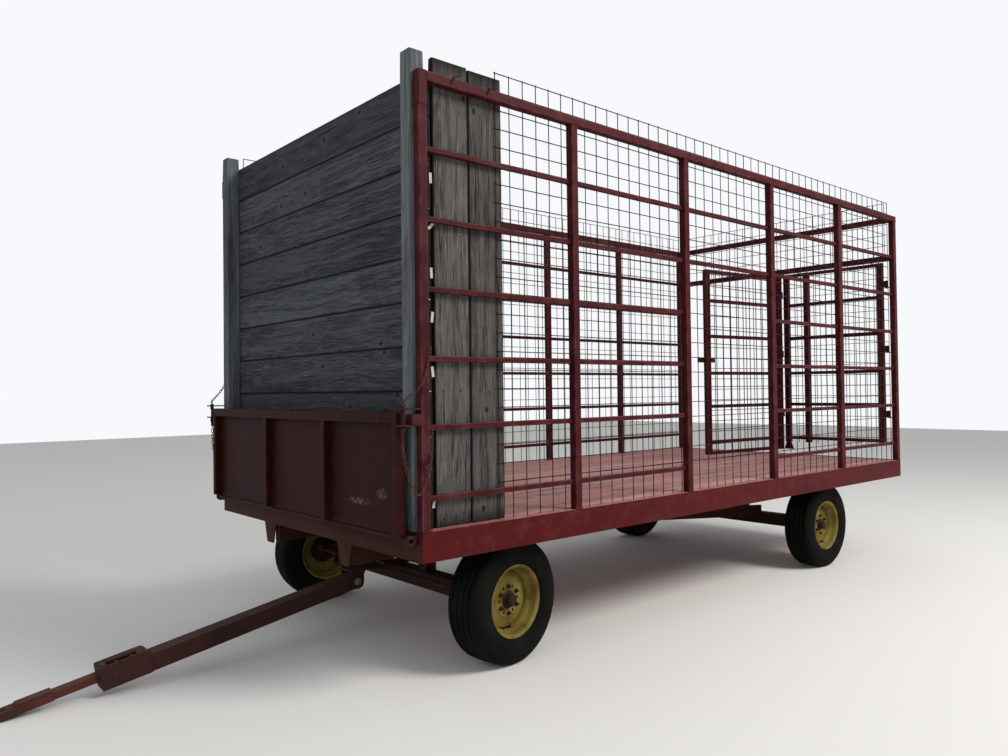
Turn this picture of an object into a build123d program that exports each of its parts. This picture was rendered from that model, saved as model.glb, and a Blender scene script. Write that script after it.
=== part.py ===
# Hay wagon: plank deck and mesh cage on a four-wheel running gear with a telescoping tongue
# Millimetres. X points forward to the tongue, Y to the left, Z up, with the ground at 0
import math
import os

from build123d import *

os.makedirs("parts", exist_ok=True)

# Bed frame
bed_length = 5486.0
bed_width = 2510.0
tip_reach = 1630.0
rail_bottom = 700.0
rail_height = 152.0
rail_flange = 50.0
rail_wall = 6.0
deck_thick = 38.0
plank_count = 13
plank_gap = 4.0
cross_depth = 76.0
cross_flange = 38.0
cross_wall = 5.0
cross_pitch = 530.0
long_sill_depth = 86.0
long_sill_width = 64.0
long_sill_wall = 5.0
long_sill_y = 482.0
bracket_drop = 127.0
bracket_top = 165.0
bracket_foot = 90.0

# Cage
tube = 50.8
tube_wall = 4.0
post_count = 6
cage_height = 2304.0
thin_rail = 28.0
thin_rail_heights = (173.0, 529.0, 875.0, 1224.0, 1578.0, 1933.0)
short_bay = 3
short_bay_rails = 4
wire = 6.0
wire_pitch = 101.6
mesh_height = 2437.0
left_mesh_start = 543.0
right_mesh_start = 137.0
header_height = 1938.0

# Board wall and upright planks
board_count = 10
board_pitch = 232.5
board_gap = 4.0
board_thick = 38.0
wood_post = 89.0
wood_post_lead = 20.0
left_wood_post_height = 2418.0
right_wood_post_height = 2398.0
plank_width = 231.0
plank_thick = 38.0
plank_start = 125.0
side_plank_heights = (2411.0, 2404.0)

# Front gate
gate_axis_lead = 45.0
gate_axis_height = 811.0
gate_rod_radius = 12.0
gate_tube_radius = 22.0
gate_height = 634.0
gate_side_gap = 70.0
gate_lug_width = 25.0
gate_panel = 6.0
gate_rib = 45.0
gate_rib_width = 38.0
gate_bar = 53.0
gate_rib_offsets = (-322.0, 434.0)
latch_height = 1386.0
latch_lead = 96.0
latch_reach = 125.0
latch_ear = 8.0
latch_ear_width = 42.0
latch_upper_gap = 22.0
latch_pin_radius = 8.0
latch_pin_length = 156.0
latch_stub_lap = 6.0
chain_pitch = 30.0
chain_wire = 5.0
chain_width = 18.0
chain_lap = 0.8

# Rear leaves
leaf_tube = 50.0
leaf_rail = 32.0
hinge_gap = 70.0
hinge_pin_radius = 8.0
hinge_barrel_radius = 14.0
hinge_barrel_length = 60.0
gate_leaf_length = 1020.0
gate_leaf_split = 246.0
gate_leaf_base = 128.0
leaf_rail_heights = (188.0, 535.0, 858.0, 1218.0, 1565.0)
leaf_top_gap = 12.0
door_length = 1170.0
door_base = 51.0
door_top = 1850.0
door_open = 84.0
hinge_heights = (400.0, 1020.0, 1640.0)
mesh_inset = 20.0
drop_bolt_radius = 8.0
foot_flare = 28.0
foot_depth = 77.0
latch_box_length = 200.0
latch_box_depth = 45.0
latch_box_height = 948.0
latch_box_lap = 40.0

# Running gear
front_axle_back = 700.0
wheelbase = 3630.0
wheel_radius = 356.0
track = 2020.0
axle_box = 100.0
axle_wall = 8.0
bolster_depth = 100.0
bolster_length = 1200.0
riser_y = 300.0
riser_width = 80.0
kingpin_y = 780.0
kingpin_radius = 16.0
boss_radius = 36.0
boss_height = 112.0
yoke_thick = 16.0
yoke_gap = 6.0
spindle_radius = 22.0
spindle_reach = 50.0
wheel_steer_rest = 7.0
steer_arm = 160.0
steer_arm_side = 25.0
rod_radius = 9.5
rod_eye_radius = 18.0
rod_eye_height = 24.0
rod_stud_radius = 9.0
swivel_thick = 12.0
king_stud_radius = 20.0
king_hub_radius = 60.0
tongue_root = 370.0
pitch_height = 353.94
ear_half = 46.0
ear_thick = 12.0
ear_gap = 3.0
reach_box = 76.0
reach_height = 446.0
reach_wall = 6.0
hound_depth = 100.0
hound_lap = 30.0
hound_thick = 14.0
hound_foot_y = 500.0
hound_length = 800.0

# Tongue
tongue_width = 102.0
tongue_depth = 92.0
tongue_wall = 5.0
beam_end = 1270.0
root_end = 42.0
slide_box_length = 236.0
slide_box_side = 9.0
slide_box_top = 26.0
throat = 1.0
latch_bar_radius = 9.0
latch_bar_spots = (0.3, 0.62)
bar_width = 64.0
bar_depth = 38.0
bar_lift = 20.0
bar_inside = 420.0
block_length = 60.0
block_fit = 0.6
strap_thick = 10.0
tip_pin_back = 55.0
tip_pin_radius = 13.0
clevis_length = 265.0
clevis_width = 84.0
pitch_pin_radius = 12.0

# Wheels
tyre_width = 230.0
tyre_facets = 40
tyre_widest_radius = 262.0
tyre_shoulder_radius = 330.0
tyre_shoulder_half = 108.0
tyre_tread_half = 84.0
tyre_bead_radius = 190.0
rim_flange_radius = 207.0
rim_half_width = 101.0
rim_wall = 5.0
rim_well_radius = 165.0
disc_face = 37.0
disc_thick = 6.0
disc_rise = 24.0
bead_inset = 12.0
well_start = 46.0
well_slope = 16.0
cap_radius = 36.0
cap_length = 40.0
hub_back = 24.0
hub_plate = 12.0
plate_lap = 8.0
hub_radius = 55.0
hub_flange_radius = 96.0
nut_circle = 76.2
nut_count = 6
nut_radius = 12.5

# Fits
running = 0.06
touch = 0.3
seat = 3.0

# Places that follow from the sizes
front_x = (bed_length - tip_reach) / 2
rear_x = front_x - bed_length
side_y = bed_width / 2
deck_top = rail_bottom + rail_height
cage_top = deck_top + cage_height
mesh_top = deck_top + mesh_height
header_top = deck_top + header_height
cross_bottom = deck_top - deck_thick - cross_depth
sill_bottom = cross_bottom - long_sill_depth
post_pitch = (bed_length - tube) / (post_count - 1)
front_axle_x = front_x - front_axle_back
rear_axle_x = front_axle_x - wheelbase
axle_top = wheel_radius + axle_box / 2
hinge_y = side_y - tube - hinge_gap / 2
hinge_x = rear_x + tube / 2
both_sides = (("left", 1), ("right", -1))


def aft(distance):
    return front_x - distance


def post_x(index):
    return aft(index * post_pitch + tube / 2)


def save(part, name):
    part.label = name
    export_step(part, "parts/" + name + ".step")


def box_between(low, high):
    with BuildPart() as block:
        size = [b - a for a, b in zip(low, high)]
        with Locations(tuple((a + b) / 2 for a, b in zip(low, high))):
            Box(*size)
    return block.part


# Side channels: web outside, flanges turned inward
for side, sign in both_sides:
    web_y = sign * (side_y - rail_wall / 2)
    flange_y = sign * (side_y - rail_flange / 2)
    with BuildPart() as side_rail:
        with BuildSketch(Plane.YZ.offset(rear_x)):
            with Locations((web_y, rail_bottom + rail_height / 2)):
                Rectangle(rail_wall, rail_height)
            with Locations(
                (flange_y, rail_bottom + rail_wall / 2),
                (flange_y, deck_top - rail_wall / 2),
            ):
                Rectangle(rail_flange, rail_wall)
        extrude(amount=bed_length)
    save(side_rail.part, f"side_rail_{side}")

# End channels between the side channels; the front one carries two tapered hanging brackets
inner_web = side_y - rail_wall
inner_flange = side_y - rail_flange
for end, face_x, inward in (("front", front_x, -1), ("rear", rear_x, 1)):
    web_x = face_x + inward * rail_wall / 2
    flange_x = face_x + inward * rail_flange / 2
    with BuildPart() as end_sill:
        with Locations((web_x, 0, rail_bottom + rail_height / 2)):
            Box(rail_wall, 2 * inner_web, rail_height - 2 * rail_wall)
        with Locations(
            (flange_x, 0, rail_bottom + rail_wall / 2),
            (flange_x, 0, deck_top - rail_wall / 2),
        ):
            Box(rail_flange, 2 * inner_flange, rail_wall)
        if end == "front":
            for bracket_y in (-long_sill_y, long_sill_y):
                with BuildSketch(Plane.YZ.offset(face_x - rail_wall)):
                    with BuildLine():
                        Polyline(
                            (bracket_y - bracket_top / 2, rail_bottom),
                            (bracket_y + bracket_top / 2, rail_bottom),
                            (bracket_y + bracket_foot / 2, rail_bottom - bracket_drop),
                            (bracket_y - bracket_foot / 2, rail_bottom - bracket_drop),
                            close=True,
                        )
                    make_face()
                extrude(amount=rail_wall)
    save(end_sill.part, f"{end}_sill")

# Cross members: channels on edge between the side webs
with BuildPart() as cross_members:
    cross_count = int((bed_length - 2 * rail_flange - cross_flange) / cross_pitch)
    cross_start = -(cross_count - 1) / 2 * cross_pitch + (front_x + rear_x) / 2
    with BuildSketch(Plane.XZ.offset(-inner_web)):
        for index in range(cross_count):
            web = cross_start + index * cross_pitch
            with Locations((web, cross_bottom + cross_depth / 2)):
                Rectangle(cross_wall, cross_depth)
            with Locations(
                (web + cross_flange / 2, cross_bottom + cross_wall / 2),
                (web + cross_flange / 2, cross_bottom + cross_depth - cross_wall / 2),
            ):
                Rectangle(cross_flange, cross_wall)
    extrude(amount=2 * inner_web)
save(cross_members.part, "cross_members")

# Long sills: box sections under the cross members
with BuildPart() as long_sills:
    with BuildSketch(Plane.YZ.offset(rear_x + rail_flange + seat)):
        with Locations(*[(y, sill_bottom + long_sill_depth / 2) for y in (-long_sill_y, long_sill_y)]):
            Rectangle(long_sill_width, long_sill_depth)
            Rectangle(
                long_sill_width - 2 * long_sill_wall,
                long_sill_depth - 2 * long_sill_wall,
                mode=Mode.SUBTRACT,
            )
    extrude(amount=bed_length - 2 * (rail_flange + seat))
save(long_sills.part, "long_sills")

# Deck planks, run lengthwise between the end channels
deck_width = 2 * inner_flange
plank_step = deck_width / plank_count
with BuildPart() as deck:
    with Locations(((front_x + rear_x) / 2, 0, deck_top - deck_thick / 2)):
        with GridLocations(1, plank_step, 1, plank_count):
            Box(bed_length - 2 * rail_flange, plank_step - plank_gap, deck_thick)
save(deck.part, "deck")

# Posts, top rails and thin rails of each side
post_y = side_y - tube / 2
rail_z = cage_top - tube / 2
thin_y = side_y - tube + thin_rail / 2
for side, sign in both_sides:
    with BuildPart() as posts:
        with BuildSketch(Plane.XY.offset(deck_top)):
            with Locations(*[(post_x(index), sign * post_y) for index in range(post_count)]):
                Rectangle(tube, tube)
                Rectangle(tube - 2 * tube_wall, tube - 2 * tube_wall, mode=Mode.SUBTRACT)
        extrude(amount=cage_height - tube)
        with BuildSketch(Plane.XY.offset(cage_top - tube)):
            with Locations((post_x(0), sign * post_y)):
                Rectangle(tube, tube)
        extrude(amount=tube)
    save(posts.part, f"posts_{side}")
    with BuildPart() as thin_rails:
        for bay in range(1, post_count):
            start = post_x(bay) + tube / 2
            clear = post_pitch - tube
            heights = thin_rail_heights
            if side == "left" and bay == short_bay:
                heights = thin_rail_heights[short_bay_rails:]
            with BuildSketch(Plane.YZ.offset(start)):
                with Locations(*[(sign * thin_y, deck_top + h - thin_rail / 2) for h in heights]):
                    Rectangle(thin_rail, thin_rail)
            extrude(amount=clear)
    save(thin_rails.part, f"thin_rails_{side}")

with BuildPart() as top_rails:
    with BuildSketch(Plane.YZ.offset(rear_x)):
        with Locations((post_y, rail_z), (-post_y, rail_z)):
            Rectangle(tube, tube)
            Rectangle(tube - 2 * tube_wall, tube - 2 * tube_wall, mode=Mode.SUBTRACT)
    extrude(amount=bed_length - tube)
save(top_rails.part, "top_rails")

# Welded mesh of each side: uprights against the posts, lines across them on the inside
upright_y = side_y - tube - wire / 2
line_y = upright_y - wire
for side, sign, start in (("left", 1, left_mesh_start), ("right", -1, right_mesh_start)):
    span = bed_length - start - tube - wire
    upright_count = int(span / wire_pitch) + 1
    line_count = int((mesh_height - wire) / wire_pitch)
    with BuildPart() as uprights:
        with BuildSketch(Plane.XY.offset(deck_top)):
            with Locations(*[(aft(start + k * wire_pitch), sign * upright_y) for k in range(upright_count)]):
                Rectangle(wire, wire)
        extrude(amount=mesh_height)
    save(uprights.part, f"mesh_uprights_{side}")
    with BuildPart() as lines:
        with BuildSketch(Plane.YZ.offset(aft(start - wire / 2))):
            with Locations(*[
                (sign * line_y, mesh_top - wire / 2 - k * wire_pitch) for k in range(line_count)
            ]):
                Rectangle(wire, wire)
        extrude(amount=-((upright_count - 1) * wire_pitch + wire))
    save(lines.part, f"mesh_lines_{side}")

# Rear frame: top bar between the top rails, header between the corner posts
inner_post = side_y - tube
with BuildPart() as rear_frame:
    for bar_z in (rail_z, header_top - tube / 2):
        with BuildSketch(Plane.XZ.offset(-inner_post)):
            with Locations((rear_x + tube / 2, bar_z)):
                Rectangle(tube, tube)
                Rectangle(tube - 2 * tube_wall, tube - 2 * tube_wall, mode=Mode.SUBTRACT)
        extrude(amount=2 * inner_post)
save(rear_frame.part, "rear_frame")

# Rear mesh from the header up, on the inside of the rear frame
rear_upright_x = rear_x + tube + wire / 2
rear_line_x = rear_upright_x + wire
rear_mesh_half = inner_post - 3 * wire
rear_upright_count = int(2 * rear_mesh_half / wire_pitch) + 1
rear_mesh_bottom = header_top - tube
with BuildPart() as rear_mesh_uprights:
    with Locations((rear_upright_x, 0, (rear_mesh_bottom + mesh_top) / 2)):
        with GridLocations(1, wire_pitch, 1, rear_upright_count):
            Box(wire, wire, mesh_top - rear_mesh_bottom)
save(rear_mesh_uprights.part, "rear_mesh_uprights")
with BuildPart() as rear_mesh_lines:
    line_count = int((mesh_top - rear_mesh_bottom) / wire_pitch) + 1
    width = (rear_upright_count - 1) * wire_pitch + wire
    with Locations(*[
        (rear_line_x, 0, mesh_top - wire / 2 - k * wire_pitch) for k in range(line_count)
    ]):
        Box(wire, width, wire)
save(rear_mesh_lines.part, "rear_mesh_lines")

# Front boards behind the wood posts
wood_front = front_x + wood_post_lead
board_front = wood_front - wood_post
board_half = inner_post - seat
with BuildPart() as front_boards:
    for index in range(board_count):
        with Locations((
            board_front - board_thick / 2, 0, deck_top + (index + 0.5) * board_pitch
        )):
            Box(board_thick, 2 * board_half, board_pitch - board_gap)
save(front_boards.part, "front_boards")
with BuildPart() as wood_posts:
    for sign, height in ((1, left_wood_post_height), (-1, right_wood_post_height)):
        with BuildSketch(Plane.XY.offset(deck_top)):
            with Locations((wood_front - wood_post / 2, sign * (inner_post - wood_post / 2))):
                Rectangle(wood_post, wood_post)
        extrude(amount=height)
save(wood_posts.part, "wood_posts")

# Two upright planks inside the left mesh
plank_y = line_y - wire / 2 - plank_thick / 2
with BuildPart() as side_planks:
    for index, height in enumerate(side_plank_heights):
        with BuildSketch(Plane.XY.offset(deck_top)):
            with Locations((aft(plank_start + (index + 0.5) * (plank_width + plank_gap)), plank_y)):
                Rectangle(plank_width, plank_thick)
        extrude(amount=height)
save(side_planks.part, "side_planks")

# Front gate hinge: a rod held by a lug at each end, on the front channel
gate_x = front_x + gate_axis_lead
gate_half = bed_width / 2 - gate_side_gap
lug_inner = gate_half + 2 * seat
lug_outer = lug_inner + gate_lug_width
with BuildPart() as gate_hinge:
    with BuildSketch(Plane.XZ.offset(-lug_outer)):
        with Locations((gate_x, gate_axis_height)):
            Circle(gate_rod_radius)
    extrude(amount=2 * lug_outer)
    for start in (-lug_outer, lug_inner):
        with BuildSketch(Plane.XZ.offset(-start)):
            with Locations((gate_x, gate_axis_height)):
                Circle(gate_tube_radius)
            with Locations((front_x + gate_axis_lead / 2, gate_axis_height)):
                Rectangle(gate_axis_lead, 2 * gate_tube_radius)
        extrude(amount=-(lug_outer - lug_inner))
    for face_y, inward in ((lug_outer, 1), (-lug_outer, -1)):
        with BuildSketch(Plane.XZ.offset(-face_y)):
            with Locations((gate_x, gate_axis_height)):
                Circle(gate_rod_radius)
        extrude(amount=inward * gate_rod_radius, mode=Mode.SUBTRACT)
save(gate_hinge.part, "gate_hinge")

# Gate: hinge tube and top bar, four uprights in front of the sheet, the sheet
gate_back = gate_x + gate_tube_radius / 2
gate_top = gate_axis_height + gate_height
bar_bottom = gate_top - gate_bar
rib_x = gate_back + gate_panel
with BuildPart() as gate_bars:
    with BuildSketch(Plane.XZ.offset(-gate_half)):
        with Locations((gate_x, gate_axis_height)):
            Circle(gate_tube_radius)
            Circle(gate_rod_radius + running, mode=Mode.SUBTRACT)
    extrude(amount=2 * gate_half)
    with BuildSketch(Plane.XZ.offset(-gate_half)):
        with Locations((gate_back + (gate_panel + gate_rib) / 2, gate_top - gate_bar / 2)):
            Rectangle(gate_panel + gate_rib, gate_bar)
            Rectangle(gate_panel + gate_rib - 2 * tube_wall, gate_bar - 2 * tube_wall, mode=Mode.SUBTRACT)
    extrude(amount=2 * gate_half)
save(gate_bars.part, "gate_bars")
gate_end = gate_half - gate_rib_width / 2
with BuildPart() as gate_uprights:
    with BuildSketch(Plane.XY.offset(gate_axis_height)):
        with Locations(*[(rib_x + gate_rib / 2, y) for y in (-gate_end, *gate_rib_offsets, gate_end)]):
            Rectangle(gate_rib, gate_rib_width)
    extrude(amount=bar_bottom - gate_axis_height)
    with BuildSketch(Plane.XZ.offset(-gate_half)):
        with Locations((gate_x, gate_axis_height)):
            Circle(gate_tube_radius + touch)
    extrude(amount=2 * gate_half, mode=Mode.SUBTRACT)
save(gate_uprights.part, "gate_uprights")
gate_sheet = box_between(
    (gate_back, -gate_half, gate_axis_height + gate_tube_radius),
    (rib_x, gate_half, bar_bottom),
)
save(gate_sheet, "gate_sheet")

# Corner latches: stub tube with two drilled ears, and the pin through them
latch_x = front_x + latch_lead
stub_length = latch_lead - latch_ear_width / 2 - 2 * gate_rod_radius + latch_stub_lap
upper_ear = latch_height + tube + latch_upper_gap
with BuildPart() as latch_brackets:
    for side, sign in both_sides:
        with Locations((front_x + stub_length / 2, sign * post_y, latch_height + tube / 2)):
            Box(stub_length, tube, tube)
        for ear_z in (latch_height - latch_ear, upper_ear):
            with BuildSketch(Plane.XY.offset(ear_z)):
                with Locations((front_x + latch_reach / 2, sign * post_y)):
                    Rectangle(latch_reach, latch_ear_width)
                with Locations((latch_x, sign * post_y)):
                    Circle(latch_pin_radius + running, mode=Mode.SUBTRACT)
            extrude(amount=latch_ear)
save(latch_brackets.part, "latch_brackets")
pin_head_z = upper_ear + latch_ear
pin_foot = pin_head_z + latch_pin_radius - latch_pin_length
with BuildPart() as latch_pins:
    for side, sign in both_sides:
        with BuildSketch(Plane.XY.offset(pin_foot)):
            with Locations((latch_x, sign * post_y)):
                Circle(latch_pin_radius)
        extrude(amount=pin_head_z - pin_foot)
        with BuildSketch(Plane.XY.offset(pin_head_z)):
            with Locations((latch_x, sign * post_y)):
                Circle(1.7 * latch_pin_radius)
        extrude(amount=latch_pin_radius)
save(latch_pins.part, "latch_pins")


# Chains: straight-sided links, each turned a quarter from the last, along a smooth path to a bolt in the post
def chain_link():
    length = chain_pitch + chain_lap + 2 * chain_wire
    with BuildPart() as link:
        with BuildSketch():
            Rectangle(length, chain_width)
            Rectangle(length - 2 * chain_wire, chain_width - 2 * chain_wire, mode=Mode.SUBTRACT)
        extrude(amount=chain_wire / 2, both=True)
    return link.part


def chain(points, sign):
    path = Spline([Vector(front_x + x, sign * (side_y + y), z) for x, y, z in points])
    count = int(path.length / chain_pitch)
    links = []
    for index in range(count):
        start = path @ (index * chain_pitch / path.length)
        end = path @ ((index + 1) * chain_pitch / path.length)
        along = (end - start).normalized()
        normal = along.cross(Vector(0, 1, 0)).normalized()
        if index % 2:
            normal = along.cross(normal).normalized()
        place = Plane(origin=(start + end) / 2, x_dir=along, z_dir=normal)
        links.append(place.location * chain_link())
    last = path @ (count * chain_pitch / path.length)
    face = Plane(origin=(last.X, sign * side_y, last.Z), z_dir=(0, sign, 0))
    reach = abs(last.Y) - side_y + chain_width / 2
    links.append(face.location * Cylinder(chain_wire, reach, align=(Align.CENTER, Align.CENTER, Align.MIN)))
    return links


chain_off = chain_width / 2 + seat
# Points ahead of the bed's front, out from its side, above the ground
pin_chain = (
    (latch_lead, -tube / 2, pin_head_z + 2 * latch_pin_radius + chain_pitch / 2),
    (20.0, chain_off, 1565.0),
    (-22.0, chain_off + seat, 1625.0),
    (-25.0, chain_off, 1750.0),
)
hanging_chain = (
    (latch_lead, -tube / 2, pin_foot - chain_pitch / 2),
    (82.0, -8.0, 1165.0),
    (58.0, 5.0, 1070.0),
    (34.0, chain_off, 1038.0),
    (2.0, chain_off + seat, 1072.0),
    (-20.0, chain_off + seat, 1130.0),
    (-36.0, chain_off + seat, 1190.0),
    (-38.0, chain_off, 1290.0),
    (-38.0, chain_off, 1375.0),
)
links = []
for side, sign in both_sides:
    links += chain(pin_chain, sign) + chain(hanging_chain, sign)
save(Part() + links, "latch_chains")

# Rear leaves: each is laid out along its own hinge line, u from the axis, v to the inside
leaf_start = hinge_gap / 2
leaf_end = leaf_start + gate_leaf_length
leaf_top = rear_mesh_bottom - leaf_top_gap
door_axis = leaf_end + hinge_gap / 2
door_hinge_y = hinge_y - door_axis
door_end = hinge_gap / 2 + door_length


def leaf_plane(axis_y, swing, z):
    turn = math.radians(swing)
    return Plane(
        origin=(hinge_x, axis_y, z),
        x_dir=(math.sin(turn), -math.cos(turn), 0),
        z_dir=(0, 0, 1),
    )


def leaf_rails(axis_y, swing, stiles, tops):
    with BuildPart() as rails:
        for top in tops:
            with BuildSketch(leaf_plane(axis_y, swing, top - leaf_rail)):
                for left, right in zip(stiles, stiles[1:]):
                    with Locations(((left + right) / 2, 0)):
                        Rectangle(right - left - leaf_tube, leaf_rail)
            extrude(amount=leaf_rail)
    return rails.part


def leaf_mesh(axis_y, swing, first, last, base, top):
    count = int((last - first - 2 * mesh_inset) / wire_pitch) + 1
    middle = (first + last) / 2
    spots = [middle + (k - (count - 1) / 2) * wire_pitch for k in range(count)]
    with BuildPart() as uprights:
        with BuildSketch(leaf_plane(axis_y, swing, base)):
            with Locations(*[(u, leaf_tube / 2 + wire / 2) for u in spots]):
                Rectangle(wire, wire)
        extrude(amount=top - base)
    rows = int((top - base) / wire_pitch)
    with BuildPart() as lines:
        for k in range(rows):
            with BuildSketch(leaf_plane(axis_y, swing, top - (k + 0.5) * wire_pitch)):
                with Locations((middle, leaf_tube / 2 + 1.5 * wire)):
                    Rectangle(last - first - 2 * mesh_inset, wire)
            extrude(amount=wire)
    return uprights.part, lines.part


# Near leaf: three stiles, hinge barrels, drop bolt and flared foot; it carries the door's pins
gate_base = deck_top + gate_leaf_base
stile_spots = (leaf_start + leaf_tube / 2, leaf_end - gate_leaf_split, leaf_end - leaf_tube / 2)
with BuildPart() as rear_gate_stiles:
    with BuildSketch(leaf_plane(hinge_y, 0, gate_base)):
        with Locations(*[(u, 0) for u in stile_spots]):
            Rectangle(leaf_tube, leaf_tube)
    extrude(amount=leaf_top - gate_base)
    with BuildSketch(leaf_plane(hinge_y, 0, deck_top + 2 * seat)):
        with Locations((stile_spots[1], 0)):
            Circle(drop_bolt_radius)
    extrude(amount=gate_leaf_base - 2 * seat)
    foot_low = gate_base - foot_depth
    foot_y = hinge_y - stile_spots[2]
    with BuildSketch(Plane.YZ.offset(hinge_x - rail_wall / 2)):
        with BuildLine():
            Polyline(
                (foot_y - leaf_tube / 2, gate_base),
                (foot_y + leaf_tube / 2, gate_base),
                (foot_y + leaf_tube / 2 + foot_flare, foot_low),
                (foot_y - leaf_tube / 2 - foot_flare, foot_low),
                close=True,
            )
        make_face()
    extrude(amount=rail_wall)
    for height in hinge_heights:
        with BuildSketch(leaf_plane(hinge_y, 0, deck_top + height + touch)):
            Circle(hinge_barrel_radius)
            with Locations((leaf_start / 2, 0)):
                Rectangle(leaf_start, hinge_barrel_radius)
            Circle(hinge_pin_radius + running, mode=Mode.SUBTRACT)
        extrude(amount=hinge_barrel_length)
        with BuildSketch(leaf_plane(hinge_y, 0, deck_top + height - latch_ear)):
            with Locations((door_axis, 0)):
                Circle(hinge_barrel_radius)
            with Locations(((leaf_end + door_axis) / 2, 0)):
                Rectangle(door_axis - leaf_end, 2 * hinge_barrel_radius)
        extrude(amount=latch_ear)
        with BuildSketch(leaf_plane(hinge_y, 0, deck_top + height)):
            with Locations((door_axis, 0)):
                Circle(hinge_pin_radius)
        extrude(amount=hinge_barrel_length + seat)
save(rear_gate_stiles.part, "rear_gate_stiles")
gate_rail_tops = [deck_top + h for h in leaf_rail_heights] + [leaf_top]
save(leaf_rails(hinge_y, 0, stile_spots, gate_rail_tops), "rear_gate_rails")
uprights, lines = leaf_mesh(hinge_y, 0, leaf_start, leaf_end, gate_base, leaf_top)
save(uprights, "rear_gate_mesh_uprights")
save(lines, "rear_gate_mesh_lines")

# Hinge pins of the near leaf, on the left rear corner post
with BuildPart() as rear_gate_pins:
    for height in hinge_heights:
        with BuildSketch(leaf_plane(hinge_y, 0, deck_top + height - latch_ear)):
            Circle(hinge_barrel_radius)
            with Locations((-hinge_gap / 4, 0)):
                Rectangle(hinge_gap / 2, 2 * hinge_barrel_radius)
        extrude(amount=latch_ear)
        with BuildSketch(leaf_plane(hinge_y, 0, deck_top + height)):
            Circle(hinge_pin_radius)
        extrude(amount=hinge_barrel_length + seat)
save(rear_gate_pins.part, "rear_gate_pins")

# Door leaf, swung in as it stands, with its latch box on the free stile
door_low = deck_top + door_base
door_high = deck_top + door_top
door_stiles = (hinge_gap / 2 + leaf_tube / 2, door_end - leaf_tube / 2)
with BuildPart() as rear_door_stiles:
    with BuildSketch(leaf_plane(door_hinge_y, door_open, door_low)):
        with Locations(*[(u, 0) for u in door_stiles]):
            Rectangle(leaf_tube, leaf_tube)
    extrude(amount=door_high - door_low)
    with BuildSketch(leaf_plane(door_hinge_y, door_open, deck_top + latch_box_height)):
        with Locations((door_end - latch_box_length / 2 + latch_box_lap, -leaf_tube / 2 - latch_box_depth / 2)):
            Rectangle(latch_box_length, latch_box_depth)
    extrude(amount=latch_box_depth)
    for height in hinge_heights:
        with BuildSketch(leaf_plane(door_hinge_y, door_open, deck_top + height + touch)):
            Circle(hinge_barrel_radius)
            with Locations((leaf_start / 2, 0)):
                Rectangle(leaf_start, hinge_barrel_radius)
            Circle(hinge_pin_radius + running, mode=Mode.SUBTRACT)
        extrude(amount=hinge_barrel_length)
save(rear_door_stiles.part, "rear_door_stiles")
door_rail_tops = [door_low + leaf_rail] + [deck_top + h for h in leaf_rail_heights] + [door_high]
save(leaf_rails(door_hinge_y, door_open, door_stiles, door_rail_tops), "rear_door_rails")
uprights, lines = leaf_mesh(door_hinge_y, door_open, hinge_gap / 2, door_end, door_low, door_high)
save(uprights, "rear_door_mesh_uprights")
save(lines, "rear_door_mesh_lines")

# Axles: box beam with end plates, two risers, a tie between them and the bolster under the long sills
tie_half = riser_width / 2
boss_top = wheel_radius + boss_height / 2
steer_level = boss_top + yoke_gap
beam_half = {"front": kingpin_y - boss_radius / 2, "rear": kingpin_y + boss_radius}
wheel_y = track / 2
for end, axle_x in (("front", front_axle_x), ("rear", rear_axle_x)):
    half = beam_half[end]
    with BuildPart() as axle:
        with BuildSketch(Plane.XZ.offset(-half)):
            with Locations((axle_x, wheel_radius)):
                Rectangle(axle_box, axle_box)
                Rectangle(axle_box - 2 * axle_wall, axle_box - 2 * axle_wall, mode=Mode.SUBTRACT)
        extrude(amount=2 * half)
        plate_y = half - axle_wall / 2
        with Locations((axle_x, plate_y, wheel_radius), (axle_x, -plate_y, wheel_radius)):
            Box(axle_box, axle_wall, axle_box)
        with BuildSketch(Plane.XY.offset(axle_top)):
            with Locations((axle_x, riser_y), (axle_x, -riser_y)):
                Rectangle(riser_width, riser_width)
        extrude(amount=sill_bottom - bolster_depth - axle_top)
        with Locations((axle_x, 0, reach_height + reach_box / 2)):
            Box(riser_width, 2 * riser_y, reach_box)
        with Locations((axle_x, 0, sill_bottom - bolster_depth / 2)):
            Box(axle_box, bolster_length, bolster_depth)
        if end == "front":
            with BuildSketch(Plane.XY.offset(wheel_radius - boss_height / 2)):
                with Locations((axle_x, kingpin_y), (axle_x, -kingpin_y)):
                    Circle(boss_radius)
            extrude(amount=boss_height)
            with BuildSketch(Plane.XY.offset(wheel_radius - boss_height / 2)):
                with Locations((axle_x, kingpin_y), (axle_x, -kingpin_y)):
                    Circle(kingpin_radius + running)
            extrude(amount=boss_height, mode=Mode.SUBTRACT)
            with BuildSketch(Plane.XY.offset(axle_top)):
                with Locations((axle_x, 0)):
                    Circle(1.5 * king_stud_radius)
            extrude(amount=steer_level - touch - axle_top)
            with BuildSketch(Plane.XY.offset(axle_top)):
                with Locations((axle_x, 0)):
                    Circle(king_stud_radius)
            extrude(amount=steer_level + swivel_thick + touch - axle_top)
            with BuildSketch(Plane.XY.offset(steer_level + swivel_thick + touch)):
                with Locations((axle_x, 0)):
                    RegularPolygon(1.6 * king_stud_radius, 6)
            extrude(amount=reach_height - yoke_gap - steer_level - swivel_thick - touch)
        else:
            with BuildSketch(Plane.XZ.offset(-wheel_y - spindle_reach)):
                with Locations((axle_x, wheel_radius)):
                    Circle(spindle_radius)
            extrude(amount=2 * (wheel_y + spindle_reach))
    save(axle.part, f"{end}_axle")

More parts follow.
